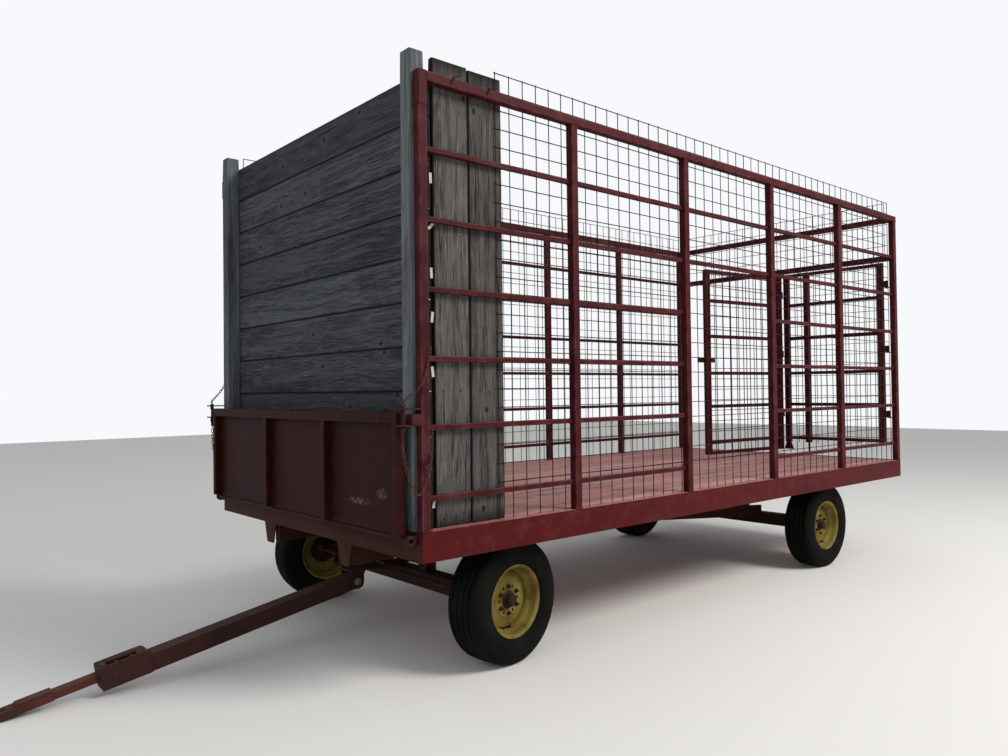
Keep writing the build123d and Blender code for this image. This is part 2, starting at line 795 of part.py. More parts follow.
# Reach pole between the two ties, and the V hounds from the rear axle to it
with BuildPart() as reach_pole:
    with BuildSketch(Plane.YZ.offset(rear_axle_x + tie_half)):
        with Locations((0, reach_height + reach_box / 2)):
            Rectangle(reach_box, reach_box)
            Rectangle(reach_box - 2 * reach_wall, reach_box - 2 * reach_wall, mode=Mode.SUBTRACT)
    extrude(amount=wheelbase - 2 * tie_half)
save(reach_pole.part, "reach_pole")
hound_x = rear_axle_x + axle_box / 2
hound_slope = math.atan2(hound_foot_y - reach_box / 2, hound_length)
with BuildPart() as hounds:
    for sign in (1, -1):
        with BuildSketch(Plane.XY.offset(axle_top - hound_lap)):
            with BuildLine():
                Polyline(
                    (hound_x, sign * hound_foot_y),
                    (hound_x, sign * (hound_foot_y + hound_thick / math.cos(hound_slope))),
                    (hound_x + hound_length + hound_thick / math.sin(hound_slope), sign * reach_box / 2),
                    (hound_x + hound_length, sign * reach_box / 2),
                    close=True,
                )
            make_face()
        extrude(amount=hound_depth)
save(hounds.part, "rear_hounds")

# Knuckles: yoke round the axle boss with its pin, spindle turned by the steering as it stands, arm ahead
rest_turn = math.radians(wheel_steer_rest)
yoke_low = wheel_radius - boss_height / 2 - yoke_gap - yoke_thick
yoke_high = steer_level + yoke_thick
web_start = boss_radius + 2 * yoke_gap
web_end = web_start + 1.4 * yoke_thick
yoke_width = 1.7 * boss_radius
eye_top = steer_level - touch
eye_low = eye_top - rod_eye_height
for side, sign in both_sides:
    pin_at = Vector(front_axle_x, sign * kingpin_y, 0)
    ahead = (math.cos(rest_turn), math.sin(rest_turn), 0)
    outward = (-sign * math.sin(rest_turn), sign * math.cos(rest_turn), 0)
    with BuildPart() as knuckle:
        for plate_z in (yoke_low, steer_level):
            with BuildSketch(Plane(origin=pin_at + Vector(0, 0, plate_z), x_dir=outward, z_dir=(0, 0, 1))):
                Circle(boss_radius)
                with Locations((web_end / 2, 0)):
                    Rectangle(web_end, yoke_width)
            extrude(amount=yoke_thick)
        with BuildSketch(Plane(origin=pin_at + Vector(0, 0, yoke_low), x_dir=outward, z_dir=(0, 0, 1))):
            with Locations(((web_start + web_end) / 2, 0)):
                Rectangle(web_end - web_start, yoke_width)
        extrude(amount=yoke_high - yoke_low)
        with BuildSketch(Plane(origin=pin_at + Vector(0, 0, yoke_low), x_dir=outward, z_dir=(0, 0, 1))):
            Circle(kingpin_radius)
        extrude(amount=yoke_high - yoke_low)
        with BuildSketch(Plane(origin=pin_at + Vector(0, 0, wheel_radius), x_dir=ahead, z_dir=outward)):
            Circle(spindle_radius)
        extrude(amount=wheel_y - kingpin_y + spindle_reach)
        with BuildSketch(Plane(origin=pin_at + Vector(0, 0, wheel_radius), x_dir=ahead, z_dir=outward)):
            Circle(spindle_radius)
        extrude(amount=web_start, mode=Mode.SUBTRACT)
        with BuildSketch(Plane(origin=pin_at + Vector(0, 0, yoke_low), x_dir=outward, z_dir=(0, 0, 1))):
            Circle(kingpin_radius)
        extrude(amount=yoke_high - yoke_low)
        with BuildSketch(Plane(origin=pin_at + Vector(0, 0, steer_level))):
            with Locations(Location(
                (steer_arm / 2, sign * steer_arm_side / 2, 0),
                (0, 0, sign * math.degrees(math.atan2(steer_arm_side, steer_arm))),
            )):
                SlotCenterToCenter(math.hypot(steer_arm, steer_arm_side), 2 * rod_eye_radius)
        extrude(amount=yoke_thick)
        with BuildSketch(Plane(origin=pin_at + Vector(0, 0, eye_low - seat))):
            with Locations((steer_arm, sign * steer_arm_side)):
                Circle(rod_stud_radius)
        extrude(amount=steer_level - eye_low + seat)
    save(knuckle.part, f"knuckle_{side}")

# Steering plate on the king stud: studs for the tie rods and ears for the tongue
pitch_x = front_axle_x + tongue_root
bar_low = bar_lift - bar_depth / 2
bar_high = bar_lift + bar_depth / 2
tongue_run = front_x + tip_reach - pitch_x
slope = math.atan2(pitch_height, tongue_run)
tip_lift = bar_high * math.sin(slope) ** 2 + bar_low * math.cos(slope) ** 2
tongue_drop = slope + tip_lift / math.hypot(tongue_run, pitch_height)
sine = math.sin(tongue_drop)
cosine = math.cos(tongue_drop)
tip_along = (tongue_run - bar_high * sine) / cosine
pitch_z = tip_along * sine - bar_low * cosine
ear_inner = tongue_width / 2 + ear_gap
ear_outer = ear_inner + ear_thick
with BuildPart() as steering_plate:
    with BuildSketch(Plane.XY.offset(steer_level)):
        with BuildLine():
            Polyline(
                (front_axle_x, -king_hub_radius),
                (pitch_x + ear_half, -ear_outer),
                (pitch_x + ear_half, ear_outer),
                (front_axle_x, king_hub_radius),
                close=True,
            )
        make_face()
        with Locations((front_axle_x, 0)):
            Circle(king_hub_radius)
            Circle(king_stud_radius + running, mode=Mode.SUBTRACT)
    extrude(amount=swivel_thick)
    with BuildSketch(Plane.XY.offset(eye_low - seat)):
        with Locations(*[(front_axle_x + steer_arm, sign * steer_arm_side) for sign in (1, -1)]):
            Circle(rod_stud_radius)
    extrude(amount=steer_level - eye_low + seat)
    for start in (-ear_outer, ear_inner):
        with BuildSketch(Plane.XZ.offset(-start)):
            with Locations((pitch_x, pitch_z)):
                Circle(ear_half)
            with Locations((pitch_x, (pitch_z + steer_level) / 2)):
                Rectangle(2 * ear_half, steer_level - pitch_z)
        extrude(amount=-ear_thick)
    with BuildSketch(Plane.XZ.offset(-ear_outer)):
        with Locations((pitch_x, pitch_z)):
            Circle(pitch_pin_radius)
    extrude(amount=2 * ear_outer)
save(steering_plate.part, "steering_plate")

# Tie rods from the plate's studs to the knuckle arms
for side, sign in both_sides:
    inner_y = sign * steer_arm_side
    outer_y = sign * (kingpin_y + steer_arm_side)
    with BuildPart() as tie_rod:
        with BuildSketch(Plane.XY.offset(eye_low)):
            with Locations((front_axle_x + steer_arm, inner_y), (front_axle_x + steer_arm, outer_y)):
                Circle(rod_eye_radius)
        extrude(amount=rod_eye_height)
        with BuildSketch(Plane.XZ.offset(-inner_y)):
            with Locations((front_axle_x + steer_arm, eye_low + rod_eye_height / 2)):
                Circle(rod_radius)
        extrude(amount=inner_y - outer_y)
        with BuildSketch(Plane.XY.offset(eye_low)):
            with Locations((front_axle_x + steer_arm, inner_y), (front_axle_x + steer_arm, outer_y)):
                Circle(rod_stud_radius + running)
        extrude(amount=rod_eye_height, mode=Mode.SUBTRACT)
    save(tie_rod.part, f"tie_rod_{side}")


# Tongue: s runs along it from the pitch pin, k up from its centre line
def tongue_section(along):
    return Plane(
        origin=(pitch_x + along * cosine, 0, pitch_z - along * sine),
        x_dir=(0, 1, 0),
        z_dir=(cosine, 0, -sine),
    )


def tongue_top(height):
    return Plane(
        origin=(pitch_x + height * sine, 0, pitch_z + height * cosine),
        x_dir=(cosine, 0, -sine),
        z_dir=(sine, 0, cosine),
    )


box_end = beam_end + slide_box_length
box_width = tongue_width + 2 * slide_box_side
box_low = -tongue_depth / 2
box_high = tongue_depth / 2 + slide_box_top
box_wall = slide_box_side
box_middle = (box_low + box_high) / 2
with BuildPart() as tongue_beam:
    with BuildSketch(tongue_section(-root_end)):
        Rectangle(tongue_width, tongue_depth)
    extrude(amount=root_end + beam_end)
    with BuildSketch(tongue_section(root_end)):
        Rectangle(tongue_width - 2 * tongue_wall, tongue_depth - 2 * tongue_wall)
    extrude(amount=beam_end - root_end, mode=Mode.SUBTRACT)
    with BuildSketch(tongue_section(beam_end - box_wall)):
        with Locations((0, box_middle)):
            Rectangle(box_width, box_high - box_low)
        Rectangle(tongue_width - 2 * tongue_wall, tongue_depth - 2 * tongue_wall, mode=Mode.SUBTRACT)
    extrude(amount=box_wall)
    with BuildSketch(tongue_section(beam_end)):
        with Locations((0, box_middle)):
            Rectangle(box_width, box_high - box_low)
            Rectangle(box_width - 2 * box_wall, box_high - box_low - 2 * box_wall, mode=Mode.SUBTRACT)
    extrude(amount=slide_box_length)
    with BuildSketch(tongue_section(box_end - box_wall)):
        with Locations((0, box_middle)):
            Rectangle(box_width, box_high - box_low)
        with Locations((0, bar_lift)):
            Rectangle(bar_width + 2 * throat, bar_depth + 2 * throat, mode=Mode.SUBTRACT)
    extrude(amount=box_wall)
    with BuildSketch(tongue_top(box_high - box_wall)):
        with Locations((beam_end + slide_box_length / 2, 0)):
            Rectangle(slide_box_length * 0.6, bar_width)
    extrude(amount=box_wall, mode=Mode.SUBTRACT)
    for along in latch_bar_spots:
        with BuildSketch(Plane.XZ.offset(-box_width / 2 + seat)):
            spot = tongue_section(beam_end + along * slide_box_length).origin
            lift = box_high - 0.6 * box_wall
            with Locations((spot.X + lift * sine, spot.Z + lift * cosine)):
                Circle(latch_bar_radius)
        extrude(amount=box_width - 2 * seat)
    with BuildSketch(Plane.XZ.offset(-tongue_width)):
        with Locations((pitch_x, pitch_z)):
            Circle(pitch_pin_radius + running)
    extrude(amount=2 * tongue_width, mode=Mode.SUBTRACT)
save(tongue_beam.part, "tongue_beam")

# Drawbar: flat bar sliding in the box, its inner end on a spacer block, a drilled eye at the tip
eye_radius = clevis_width / 2
bar_start = box_end - bar_inside
with BuildPart() as drawbar:
    with BuildSketch(tongue_section(bar_start)):
        with Locations((0, bar_lift)):
            Rectangle(bar_width, bar_depth)
    extrude(amount=tip_along - eye_radius - bar_start)
    with BuildSketch(tongue_section(bar_start)):
        Rectangle(
            tongue_width - 2 * tongue_wall - 2 * block_fit,
            tongue_depth - 2 * tongue_wall - 2 * block_fit,
        )
    extrude(amount=block_length)
    with BuildSketch(tongue_top(bar_low)):
        with Locations((tip_along - eye_radius, 0)):
            Circle(eye_radius)
        with Locations((tip_along - clevis_length / 2 - eye_radius / 2, 0)):
            Rectangle(clevis_length - eye_radius, clevis_width)
    extrude(amount=bar_depth)
    with BuildSketch(tongue_top(bar_high)):
        with Locations((tip_along - clevis_length * 0.7, 0)):
            Rectangle(clevis_length * 0.6, bar_width)
    extrude(amount=strap_thick)
    with BuildSketch(tongue_top(bar_low)):
        with Locations((tip_along - tip_pin_back, 0)):
            Circle(tip_pin_radius)
    extrude(amount=bar_depth, mode=Mode.SUBTRACT)
save(drawbar.part, "drawbar")

# Tyre: a many-sided ring of flat faces, from bead to bead round the rim; its corners lie on the tread's circle
tyre_half = tyre_width / 2
bead_half = rim_half_width - bead_inset - touch
bead_corner = (tyre_bead_radius + touch) / math.cos(math.pi / tyre_facets)
half_outline = (
    (bead_corner, bead_half),
    (tyre_widest_radius, tyre_half),
    (tyre_shoulder_radius, tyre_shoulder_half),
    (wheel_radius, tyre_tread_half),
)
outline = [*half_outline, *[(r, -y) for r, y in reversed(half_outline)]]
spokes = []
for index in range(tyre_facets):
    angle = index * 2 * math.pi / tyre_facets
    spokes.append([Vector(r * math.cos(angle), r * math.sin(angle), y) for r, y in outline])
faces = []
for index, spoke in enumerate(spokes):
    previous = spokes[index - 1]
    for k in range(len(outline)):
        corners = (previous[k - 1], spoke[k - 1], spoke[k], previous[k])
        faces.append(Face(Wire.make_polygon(corners, close=True)))
tyre = Solid(Shell(faces))

# Wheel: rim with its dished disc, hub with its flange, cap and nuts
flange_step = rim_half_width - rim_wall
seat_edge = rim_half_width - bead_inset
well_edge = rim_half_width - well_start
well_half = well_edge - well_slope
plate_edge = hub_flange_radius + plate_lap
with BuildPart() as wheel:
    with BuildSketch(Plane.XZ):
        with BuildLine():
            Polyline(
                (rim_flange_radius, rim_half_width),
                (rim_flange_radius, flange_step),
                (tyre_bead_radius, seat_edge),
                (tyre_bead_radius, well_edge),
                (rim_well_radius + rim_wall, well_half),
                (rim_well_radius + rim_wall, -well_half),
                (tyre_bead_radius, -well_edge),
                (tyre_bead_radius, -seat_edge),
                (rim_flange_radius, -flange_step),
                (rim_flange_radius, -rim_half_width),
                (rim_flange_radius - rim_wall, -rim_half_width),
                (tyre_bead_radius - rim_wall, -seat_edge),
                (tyre_bead_radius - rim_wall, -well_edge),
                (rim_well_radius, -well_half),
                (rim_well_radius, well_half),
                (tyre_bead_radius - rim_wall, well_edge),
                (tyre_bead_radius - rim_wall, seat_edge),
                (rim_flange_radius - rim_wall, rim_half_width),
                close=True,
            )
        make_face()
        with BuildLine():
            Polyline(
                (cap_radius, disc_face),
                (plate_edge, disc_face),
                (rim_well_radius, disc_face - disc_rise),
                (rim_well_radius, disc_face - disc_rise - disc_thick),
                (plate_edge, disc_face - disc_thick),
                (cap_radius, disc_face - disc_thick),
                close=True,
            )
        make_face()
        with Locations((hub_radius / 2, -hub_back / 2)):
            Rectangle(hub_radius, 2 * disc_face + hub_back)
        with Locations((hub_flange_radius / 2, disc_face - disc_thick - hub_plate / 2)):
            Rectangle(hub_flange_radius, hub_plate)
        with Locations((cap_radius / 2, disc_face + cap_length / 2)):
            Rectangle(cap_radius, cap_length)
        with Locations((spindle_radius / 2, 0)):
            Rectangle(spindle_radius, 2 * (spindle_reach + seat), mode=Mode.SUBTRACT)
    revolve(axis=Axis.Z)
    with BuildSketch(Plane.XY.offset(-disc_face - hub_back)):
        Circle(spindle_radius + running)
    extrude(amount=disc_face + hub_back + spindle_reach + seat, mode=Mode.SUBTRACT)
    with BuildSketch(Plane.XY.offset(disc_face)):
        with PolarLocations(nut_circle, nut_count):
            RegularPolygon(nut_radius, 6)
    extrude(amount=nut_radius)

turned = (math.sin(rest_turn), math.cos(rest_turn))
reach = wheel_y - kingpin_y
wheel_spots = []
for side, sign in both_sides:
    wheel_spots.append((
        f"front_{side}",
        (front_axle_x - sign * reach * turned[0], sign * (kingpin_y + reach * turned[1])),
        (-sign * turned[0], sign * turned[1]),
    ))
    wheel_spots.append((f"rear_{side}", (rear_axle_x, sign * wheel_y), (0, sign)))
for name, centre, outward in wheel_spots:
    place = Plane(
        origin=(*centre, wheel_radius),
        x_dir=(0, 0, 1),
        z_dir=(*outward, 0),
    ).location
    save(place * tyre, f"tyre_{name}")
    save(place * wheel.part, f"wheel_{name}")
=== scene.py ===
import math
import random

import bmesh
import bpy
from mathutils import Matrix, Vector


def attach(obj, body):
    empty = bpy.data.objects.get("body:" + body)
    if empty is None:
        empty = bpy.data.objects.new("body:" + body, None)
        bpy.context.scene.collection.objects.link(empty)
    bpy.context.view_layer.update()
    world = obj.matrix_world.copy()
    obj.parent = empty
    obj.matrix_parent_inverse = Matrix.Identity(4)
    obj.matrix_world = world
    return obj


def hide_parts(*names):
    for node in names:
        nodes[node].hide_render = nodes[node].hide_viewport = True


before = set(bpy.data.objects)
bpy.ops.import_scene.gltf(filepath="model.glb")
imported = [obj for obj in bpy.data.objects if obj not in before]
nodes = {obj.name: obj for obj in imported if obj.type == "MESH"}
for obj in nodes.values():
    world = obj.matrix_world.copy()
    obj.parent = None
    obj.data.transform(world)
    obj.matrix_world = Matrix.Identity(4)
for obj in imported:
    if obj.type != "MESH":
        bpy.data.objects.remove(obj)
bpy.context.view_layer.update()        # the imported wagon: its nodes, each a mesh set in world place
print("hay wagon: frame loaded")


# Node trees: a wire wraps one output socket, and its operators add Math nodes
class Wire:
    def __init__(self, net, socket):
        self.net = net
        self.socket = socket

    def math(self, operation, first, second):
        return self.net.add("ShaderNodeMath", {"operation": operation}, {0: first, 1: second})

    def __add__(self, other):
        return self.math("ADD", self, other)

    def __sub__(self, other):
        return self.math("SUBTRACT", self, other)

    def __rsub__(self, other):
        return self.math("SUBTRACT", other, self)

    def __mul__(self, other):
        return self.math("MULTIPLY", self, other)

    __radd__ = __add__
    __rmul__ = __mul__

    def other(self, name):        # another output of the same node
        return Wire(self.net, self.socket.node.outputs[name])

    def step(self, low, high):
        inputs = {0: self, 1: low, 2: high, 3: 0.0, 4: 1.0}
        return self.net.add("ShaderNodeMapRange", {"interpolation_type": "SMOOTHSTEP"}, inputs)


class Net:
    def __init__(self, tree):
        self.tree = tree

    def add(self, kind, settings=None, inputs=None, out=0):
        node = self.tree.nodes.new(kind)
        for key, value in (settings or {}).items():
            setattr(node, key, value)
        for key, value in (inputs or {}).items():
            if isinstance(value, Wire):
                self.tree.links.new(value.socket, node.inputs[key])
            else:
                node.inputs[key].default_value = value
        return Wire(self, node.outputs[out])

    def split(self, vector, axis):
        return self.add("ShaderNodeSeparateXYZ", {}, {0: vector}, out=axis)

    def join(self, x=0.0, y=0.0, z=0.0):
        return self.add("ShaderNodeCombineXYZ", {}, {0: x, 1: y, 2: z})


class Finish(Net):
    def __init__(self, name, shine=0.2):
        self.material = bpy.data.materials.new(name)
        self.material.use_nodes = True
        super().__init__(self.material.node_tree)
        self.surface = self.tree.nodes["Principled BSDF"]
        self.surface.inputs["Specular IOR Level"].default_value = shine

    def place(self, scale=(1, 1, 1), shift=(0, 0, 0)):
        where = self.add("ShaderNodeTexCoord", out="Object")
        return self.add("ShaderNodeMapping", {}, {"Vector": where, "Location": shift, "Scale": scale})

    def noise(self, where, scale, detail=4.0, rough=0.55, warp=0.0):
        inputs = {"Vector": where, "Scale": scale, "Detail": detail, "Roughness": rough, "Distortion": warp}
        return self.add("ShaderNodeTexNoise", {}, inputs)

    def mix(self, amount, first, second):
        wide = [c if isinstance(c, Wire) else (*c, 1.0) for c in (first, second)]
        inputs = {0: amount, 6: wide[0], 7: wide[1]}
        return self.add("ShaderNodeMix", {"data_type": "RGBA"}, inputs, out=2)

    def stored(self, name):        # a value kept on the mesh: edge or tone
        return self.add("ShaderNodeAttribute", {"attribute_name": name}, out="Fac")

    def up(self):
        return self.split(self.add("ShaderNodeNewGeometry", out="Normal"), "Z")

    def finish(self, colour, rough, height=None, depth=0.002, strength=1.0):
        pairs = {"Base Color": colour, "Roughness": rough}
        if height is not None:
            inputs = {"Height": height, "Distance": depth, "Strength": strength}
            pairs["Normal"] = self.add("ShaderNodeBump", {}, inputs)
        for key, wire in pairs.items():
            if wire is not None:
                self.tree.links.new(wire.socket, self.surface.inputs[key])
        return self.material


# Finishes: each returns one procedural material, with the colours as they look in plain light, apart from the
# painted shade and painted sunlight noted below
paint = {
    "maroon": (0.058, 0.0068, 0.0094),
    "faded": (0.130, 0.042, 0.046),
    "deep": (0.030, 0.0055, 0.0075),
    "rust": (0.066, 0.021, 0.010),
    "dust": (0.240, 0.165, 0.135),
}


def paintedSteel(name, main, faded, deep, rustShare=0.30, dustAndSunlitShare=0.35, seed=0.0, gloss=0.42,
                 scuffs=(), chalkedAndSunlit=None):
    f = Finish(name, 0.08)
    edge = f.stored("edge")
    here = f.place(shift=(seed, seed * 0.7, 0))
    cloud = f.noise(here, 1.7, 3.0)
    speck = f.noise(here, 55.0, 5.0, 0.7)
    patch = f.noise(here, 9.0, 5.0, 0.65, 0.4)
    runs = f.noise(f.place((26.0, 26.0, 1.6), (seed, 0, seed)), 1.0, 3.0)
    up = f.up()
    colour = f.mix(cloud.step(0.35, 0.72) * 0.7, main, deep)
    colour = f.mix(patch.step(0.44, 0.80) * 0.45, colour, faded)
    colour = f.mix(runs.step(0.56, 0.8) * 0.35, colour, deep)
    rust = (patch * 0.62 + speck * 0.38).step(0.635 - 0.14 * rustShare, 0.69)
    colour = f.mix(rust, colour, paint["rust"])
    # Upward faces lighter: partly chalked, weathered paint and partly painted sunlight on top faces
    chalkAndSunlitTop = up.step(0.4, 0.9) * (patch.step(0.3, 0.7) * 0.5 + 0.5) * dustAndSunlitShare
    colour = f.mix(chalkAndSunlitTop, colour, chalkedAndSunlit or faded)
    colour = f.mix(edge * patch.step(0.38, 0.62) * 0.55, colour, faded)
    colour = f.mix(edge * speck.step(0.56, 0.66) * 0.7, colour, paint["rust"])
    dust = up.step(0.6, 0.95) * speck.step(0.52, 0.75) * dustAndSunlitShare
    colour = f.mix(dust, colour, paint["dust"])
    spot = f.place()
    for y, z, wide, high in scuffs:        # pale scrapes at known places on a flat face
        shift, scale = (0, -y / wide, -z / high), (0.0, 1.0 / wide, 1.0 / high)
        away = f.add("ShaderNodeMapping", {}, {"Vector": spot, "Location": shift, "Scale": scale})
        far = f.add("ShaderNodeVectorMath", {"operation": "LENGTH"}, {0: away}, out="Value")
        scrape = (1.0 - far.step(0.4, 1.1)) * speck.step(0.42, 0.62)
        colour = f.mix(scrape * 0.55, colour, paint["dust"])
    rough = gloss + patch * 0.22 + rust * 0.3 + speck * 0.08
    height = speck * 0.25 + patch * 0.5 - rust * 0.35
    return f.finish(colour, rough, height, 0.0012, 0.5)


def rustySteel(name, main, brown, pale, seed=0.0):
    f = Finish(name, 0.14)
    here = f.place(shift=(seed, 0, seed))
    cloud = f.noise(here, 3.0, 4.0)
    patch = f.noise(here, 14.0, 6.0, 0.7, 0.6)
    speck = f.noise(here, 120.0, 4.0, 0.7)
    colour = f.mix(cloud.step(0.38, 0.62), main, brown)
    colour = f.mix(patch.step(0.5, 0.68) * 0.8, colour, brown)
    colour = f.mix(speck.step(0.56, 0.72) * 0.5, colour, pale)
    dust = f.up().step(0.5, 1.0) * patch.step(0.4, 0.7) * 0.3
    colour = f.mix(dust, colour, pale)
    rough = 0.62 + patch * 0.25
    return f.finish(colour, rough, patch * 0.6 + speck * 0.4, 0.0016, 0.7)


# Grain and knots, in metres on the board: how the rings run, and how far a knot stains and bends them
grainLook = {
    "rings": 38.0, "wander": 6.0, "long": 0.9, "fine": 2.7, "fineLong": 1.6,
    "kept": (0.40, 0.42), "squash": (0.8, 1.1), "wobble": 0.010,
    "heart": (0.008, 0.018), "halo": (0.016, 0.065), "pull": (0.0, 0.090), "pulled": 60.0,
}


# Weathered board: the piece's own map runs u along the grain and v across it, in metres
def weatheredWood(name, pale, mid, dark, stain=(0.03, 0.028, 0.026), paintLeft=None, knotEvery=0.55):
    f = Finish(name, 0.10)
    look = grainLook
    flat = f.add("ShaderNodeUVMap", {"uv_map": "grain"})

    def stretched(along, across):
        return f.add("ShaderNodeMapping", {}, {"Vector": flat, "Scale": (along, across, 1.0)})

    tone = f.stored("tone")
    edge = f.stored("edge")
    u = f.split(flat, "X")
    v = f.split(flat, "Y")
    wobble = f.noise(stretched(40.0, 40.0), 1.0, 2.0)
    cells = {"Vector": stretched(*look["squash"]), "Scale": 1.0 / knotEvery}
    spots = f.add("ShaderNodeTexVoronoi", {"voronoi_dimensions": "2D"}, cells)
    kept = f.split(spots.other("Color"), "X").step(*look["kept"])
    away = spots * knotEvery + (wobble - 0.5) * look["wobble"]
    knot = (1.0 - away.step(*look["heart"])) * kept
    halo = (1.0 - away.step(*look["halo"])) * kept
    heart = f.split(spots.other("Position"), "Y") * (knotEvery / look["squash"][1])
    wander = f.noise(stretched(0.9, 3.2), 1.0, 2.0)
    bent = (v - heart) * (1.0 - away.step(*look["pull"])) * kept * look["pulled"]
    across = v * look["rings"] + wander * look["wander"] + bent
    rings = f.noise(f.join(across, u * look["long"], tone * 7.0), 1.0, 3.0, 0.6)
    fibres = f.noise(stretched(7.0, 420.0), 1.0, 4.0, 0.7)
    cracks = f.noise(stretched(1.6, 95.0), 1.0, 3.0, 0.6, 0.2)
    blotch = f.noise(stretched(1.4, 6.0), 1.0, 4.0, 0.6)
    fineRings = f.noise(f.join(across * look["fine"], u * look["fineLong"], tone * 9.0), 1.0, 2.0, 0.5)
    colour = f.mix(rings.step(0.40, 0.60), dark, mid)
    colour = f.mix(fineRings.step(0.56, 0.68) * 0.55, colour, dark)
    colour = f.mix(fibres.step(0.44, 0.66) * 0.8, colour, pale)
    colour = f.mix((1.0 - tone) * 0.55, colour, dark)
    colour = f.mix(blotch.step(0.52, 0.7) * 0.5, colour, stain)
    split = cracks.step(0.635, 0.68)
    colour = f.mix(split, colour, stain)
    colour = f.mix(halo * rings.step(0.44, 0.56) * 0.2, colour, pale)
    colour = f.mix(knot * 0.9, colour, stain)
    # Painted shade: a board's rims and ends darkened as the dark gaps between boards
    colour = f.mix(edge * 0.88, colour, stain)
    if paintLeft:
        clinging = (blotch * 0.5 + fibres * 0.3 + cracks * 0.2).step(0.42, 0.58)
        colour = f.mix(clinging * 0.8, colour, paintLeft)
    rough = 0.78 + fibres * 0.18
    height = rings * 0.35 + fibres * 0.35 - split * 0.9 - knot * 0.3
    return f.finish(colour, rough, height, 0.003, 0.8)


rubberColours = {
    "black": (0.0032, 0.0036, 0.0034), "worn": (0.0090, 0.0088, 0.0078), "grit": (0.030, 0.027, 0.020),
}


def rubber(name):
    f = Finish(name, 0.05)
    here = f.place()
    fine = f.noise(here, 260.0, 3.0, 0.6)
    cloud = f.noise(here, 6.0, 4.0)
    colour = f.mix(cloud.step(0.4, 0.75), rubberColours["black"], rubberColours["worn"])
    colour = f.mix(fine.step(0.6, 0.8) * 0.2, colour, rubberColours["grit"])
    return f.finish(colour, 0.62 + cloud * 0.25, fine, 0.0008, 0.5)


yellows = {
    "fresh": (0.190, 0.148, 0.028), "aged": (0.105, 0.070, 0.007),
    "dirt": (0.085, 0.056, 0.016), "chip": (0.045, 0.018, 0.010),
}


def yellowPaint(name):
    f = Finish(name)
    here = f.place()
    cloud = f.noise(here, 7.0, 4.0)
    patch = f.noise(here, 34.0, 5.0, 0.7, 0.4)
    speck = f.noise(here, 190.0, 3.0)
    colour = f.mix(cloud.step(0.38, 0.68), yellows["fresh"], yellows["aged"])
    colour = f.mix(patch.step(0.5, 0.7) * 0.45, colour, yellows["dirt"])
    chips = (patch * 0.6 + speck * 0.4).step(0.61, 0.66)
    colour = f.mix(chips * 0.85, colour, yellows["chip"])
    return f.finish(colour, 0.42 + patch * 0.25 + chips * 0.2, patch * 0.5 - chips * 0.4, 0.0012, 0.5)


# Steels: name, main colour, brown, pale dust and the shift of the pattern
steels = {
    "scar": ("weldScar", (0.150, 0.085, 0.080), (0.080, 0.030, 0.026), (0.240, 0.165, 0.150), 7.0),
    "wire": ("meshWire", (0.045, 0.012, 0.013), (0.030, 0.010, 0.009), (0.085, 0.040, 0.034), 1.0),
    "gear": ("gearSteel", (0.034, 0.010, 0.009), (0.024, 0.011, 0.008), (0.075, 0.042, 0.032), 0.0),
    "tongue": ("tongueSteel", (0.044, 0.015, 0.013), (0.030, 0.013, 0.011), (0.105, 0.055, 0.046), 3.0),
    "slideBar": ("slideBarSteel", (0.080, 0.024, 0.017), (0.046, 0.018, 0.012), (0.135, 0.066, 0.048), 8.0),
    "bareRust": ("bareRust", (0.040, 0.013, 0.009), (0.024, 0.010, 0.008), (0.085, 0.042, 0.026), 6.0),
    "chain": ("chainSteel", (0.095, 0.038, 0.030), (0.052, 0.018, 0.014), (0.280, 0.220, 0.200), 4.0),
    "darkSteel": ("darkSteel", (0.013, 0.0075, 0.0065), (0.024, 0.011, 0.007), (0.060, 0.035, 0.024), 2.0),
    "zinc": ("dullZinc", (0.170, 0.170, 0.165), (0.085, 0.070, 0.058), (0.300, 0.300, 0.290), 2.5),
    # The pale paper-like colour in the next row is painted daylight showing through the gaps at the board
    # ends
    "tag": ("paperTag", (0.560, 0.560, 0.540), (0.420, 0.400, 0.360), (0.700, 0.700, 0.680), 2.5),
}
finishes = {key: rustySteel(*look) for key, look in steels.items()}
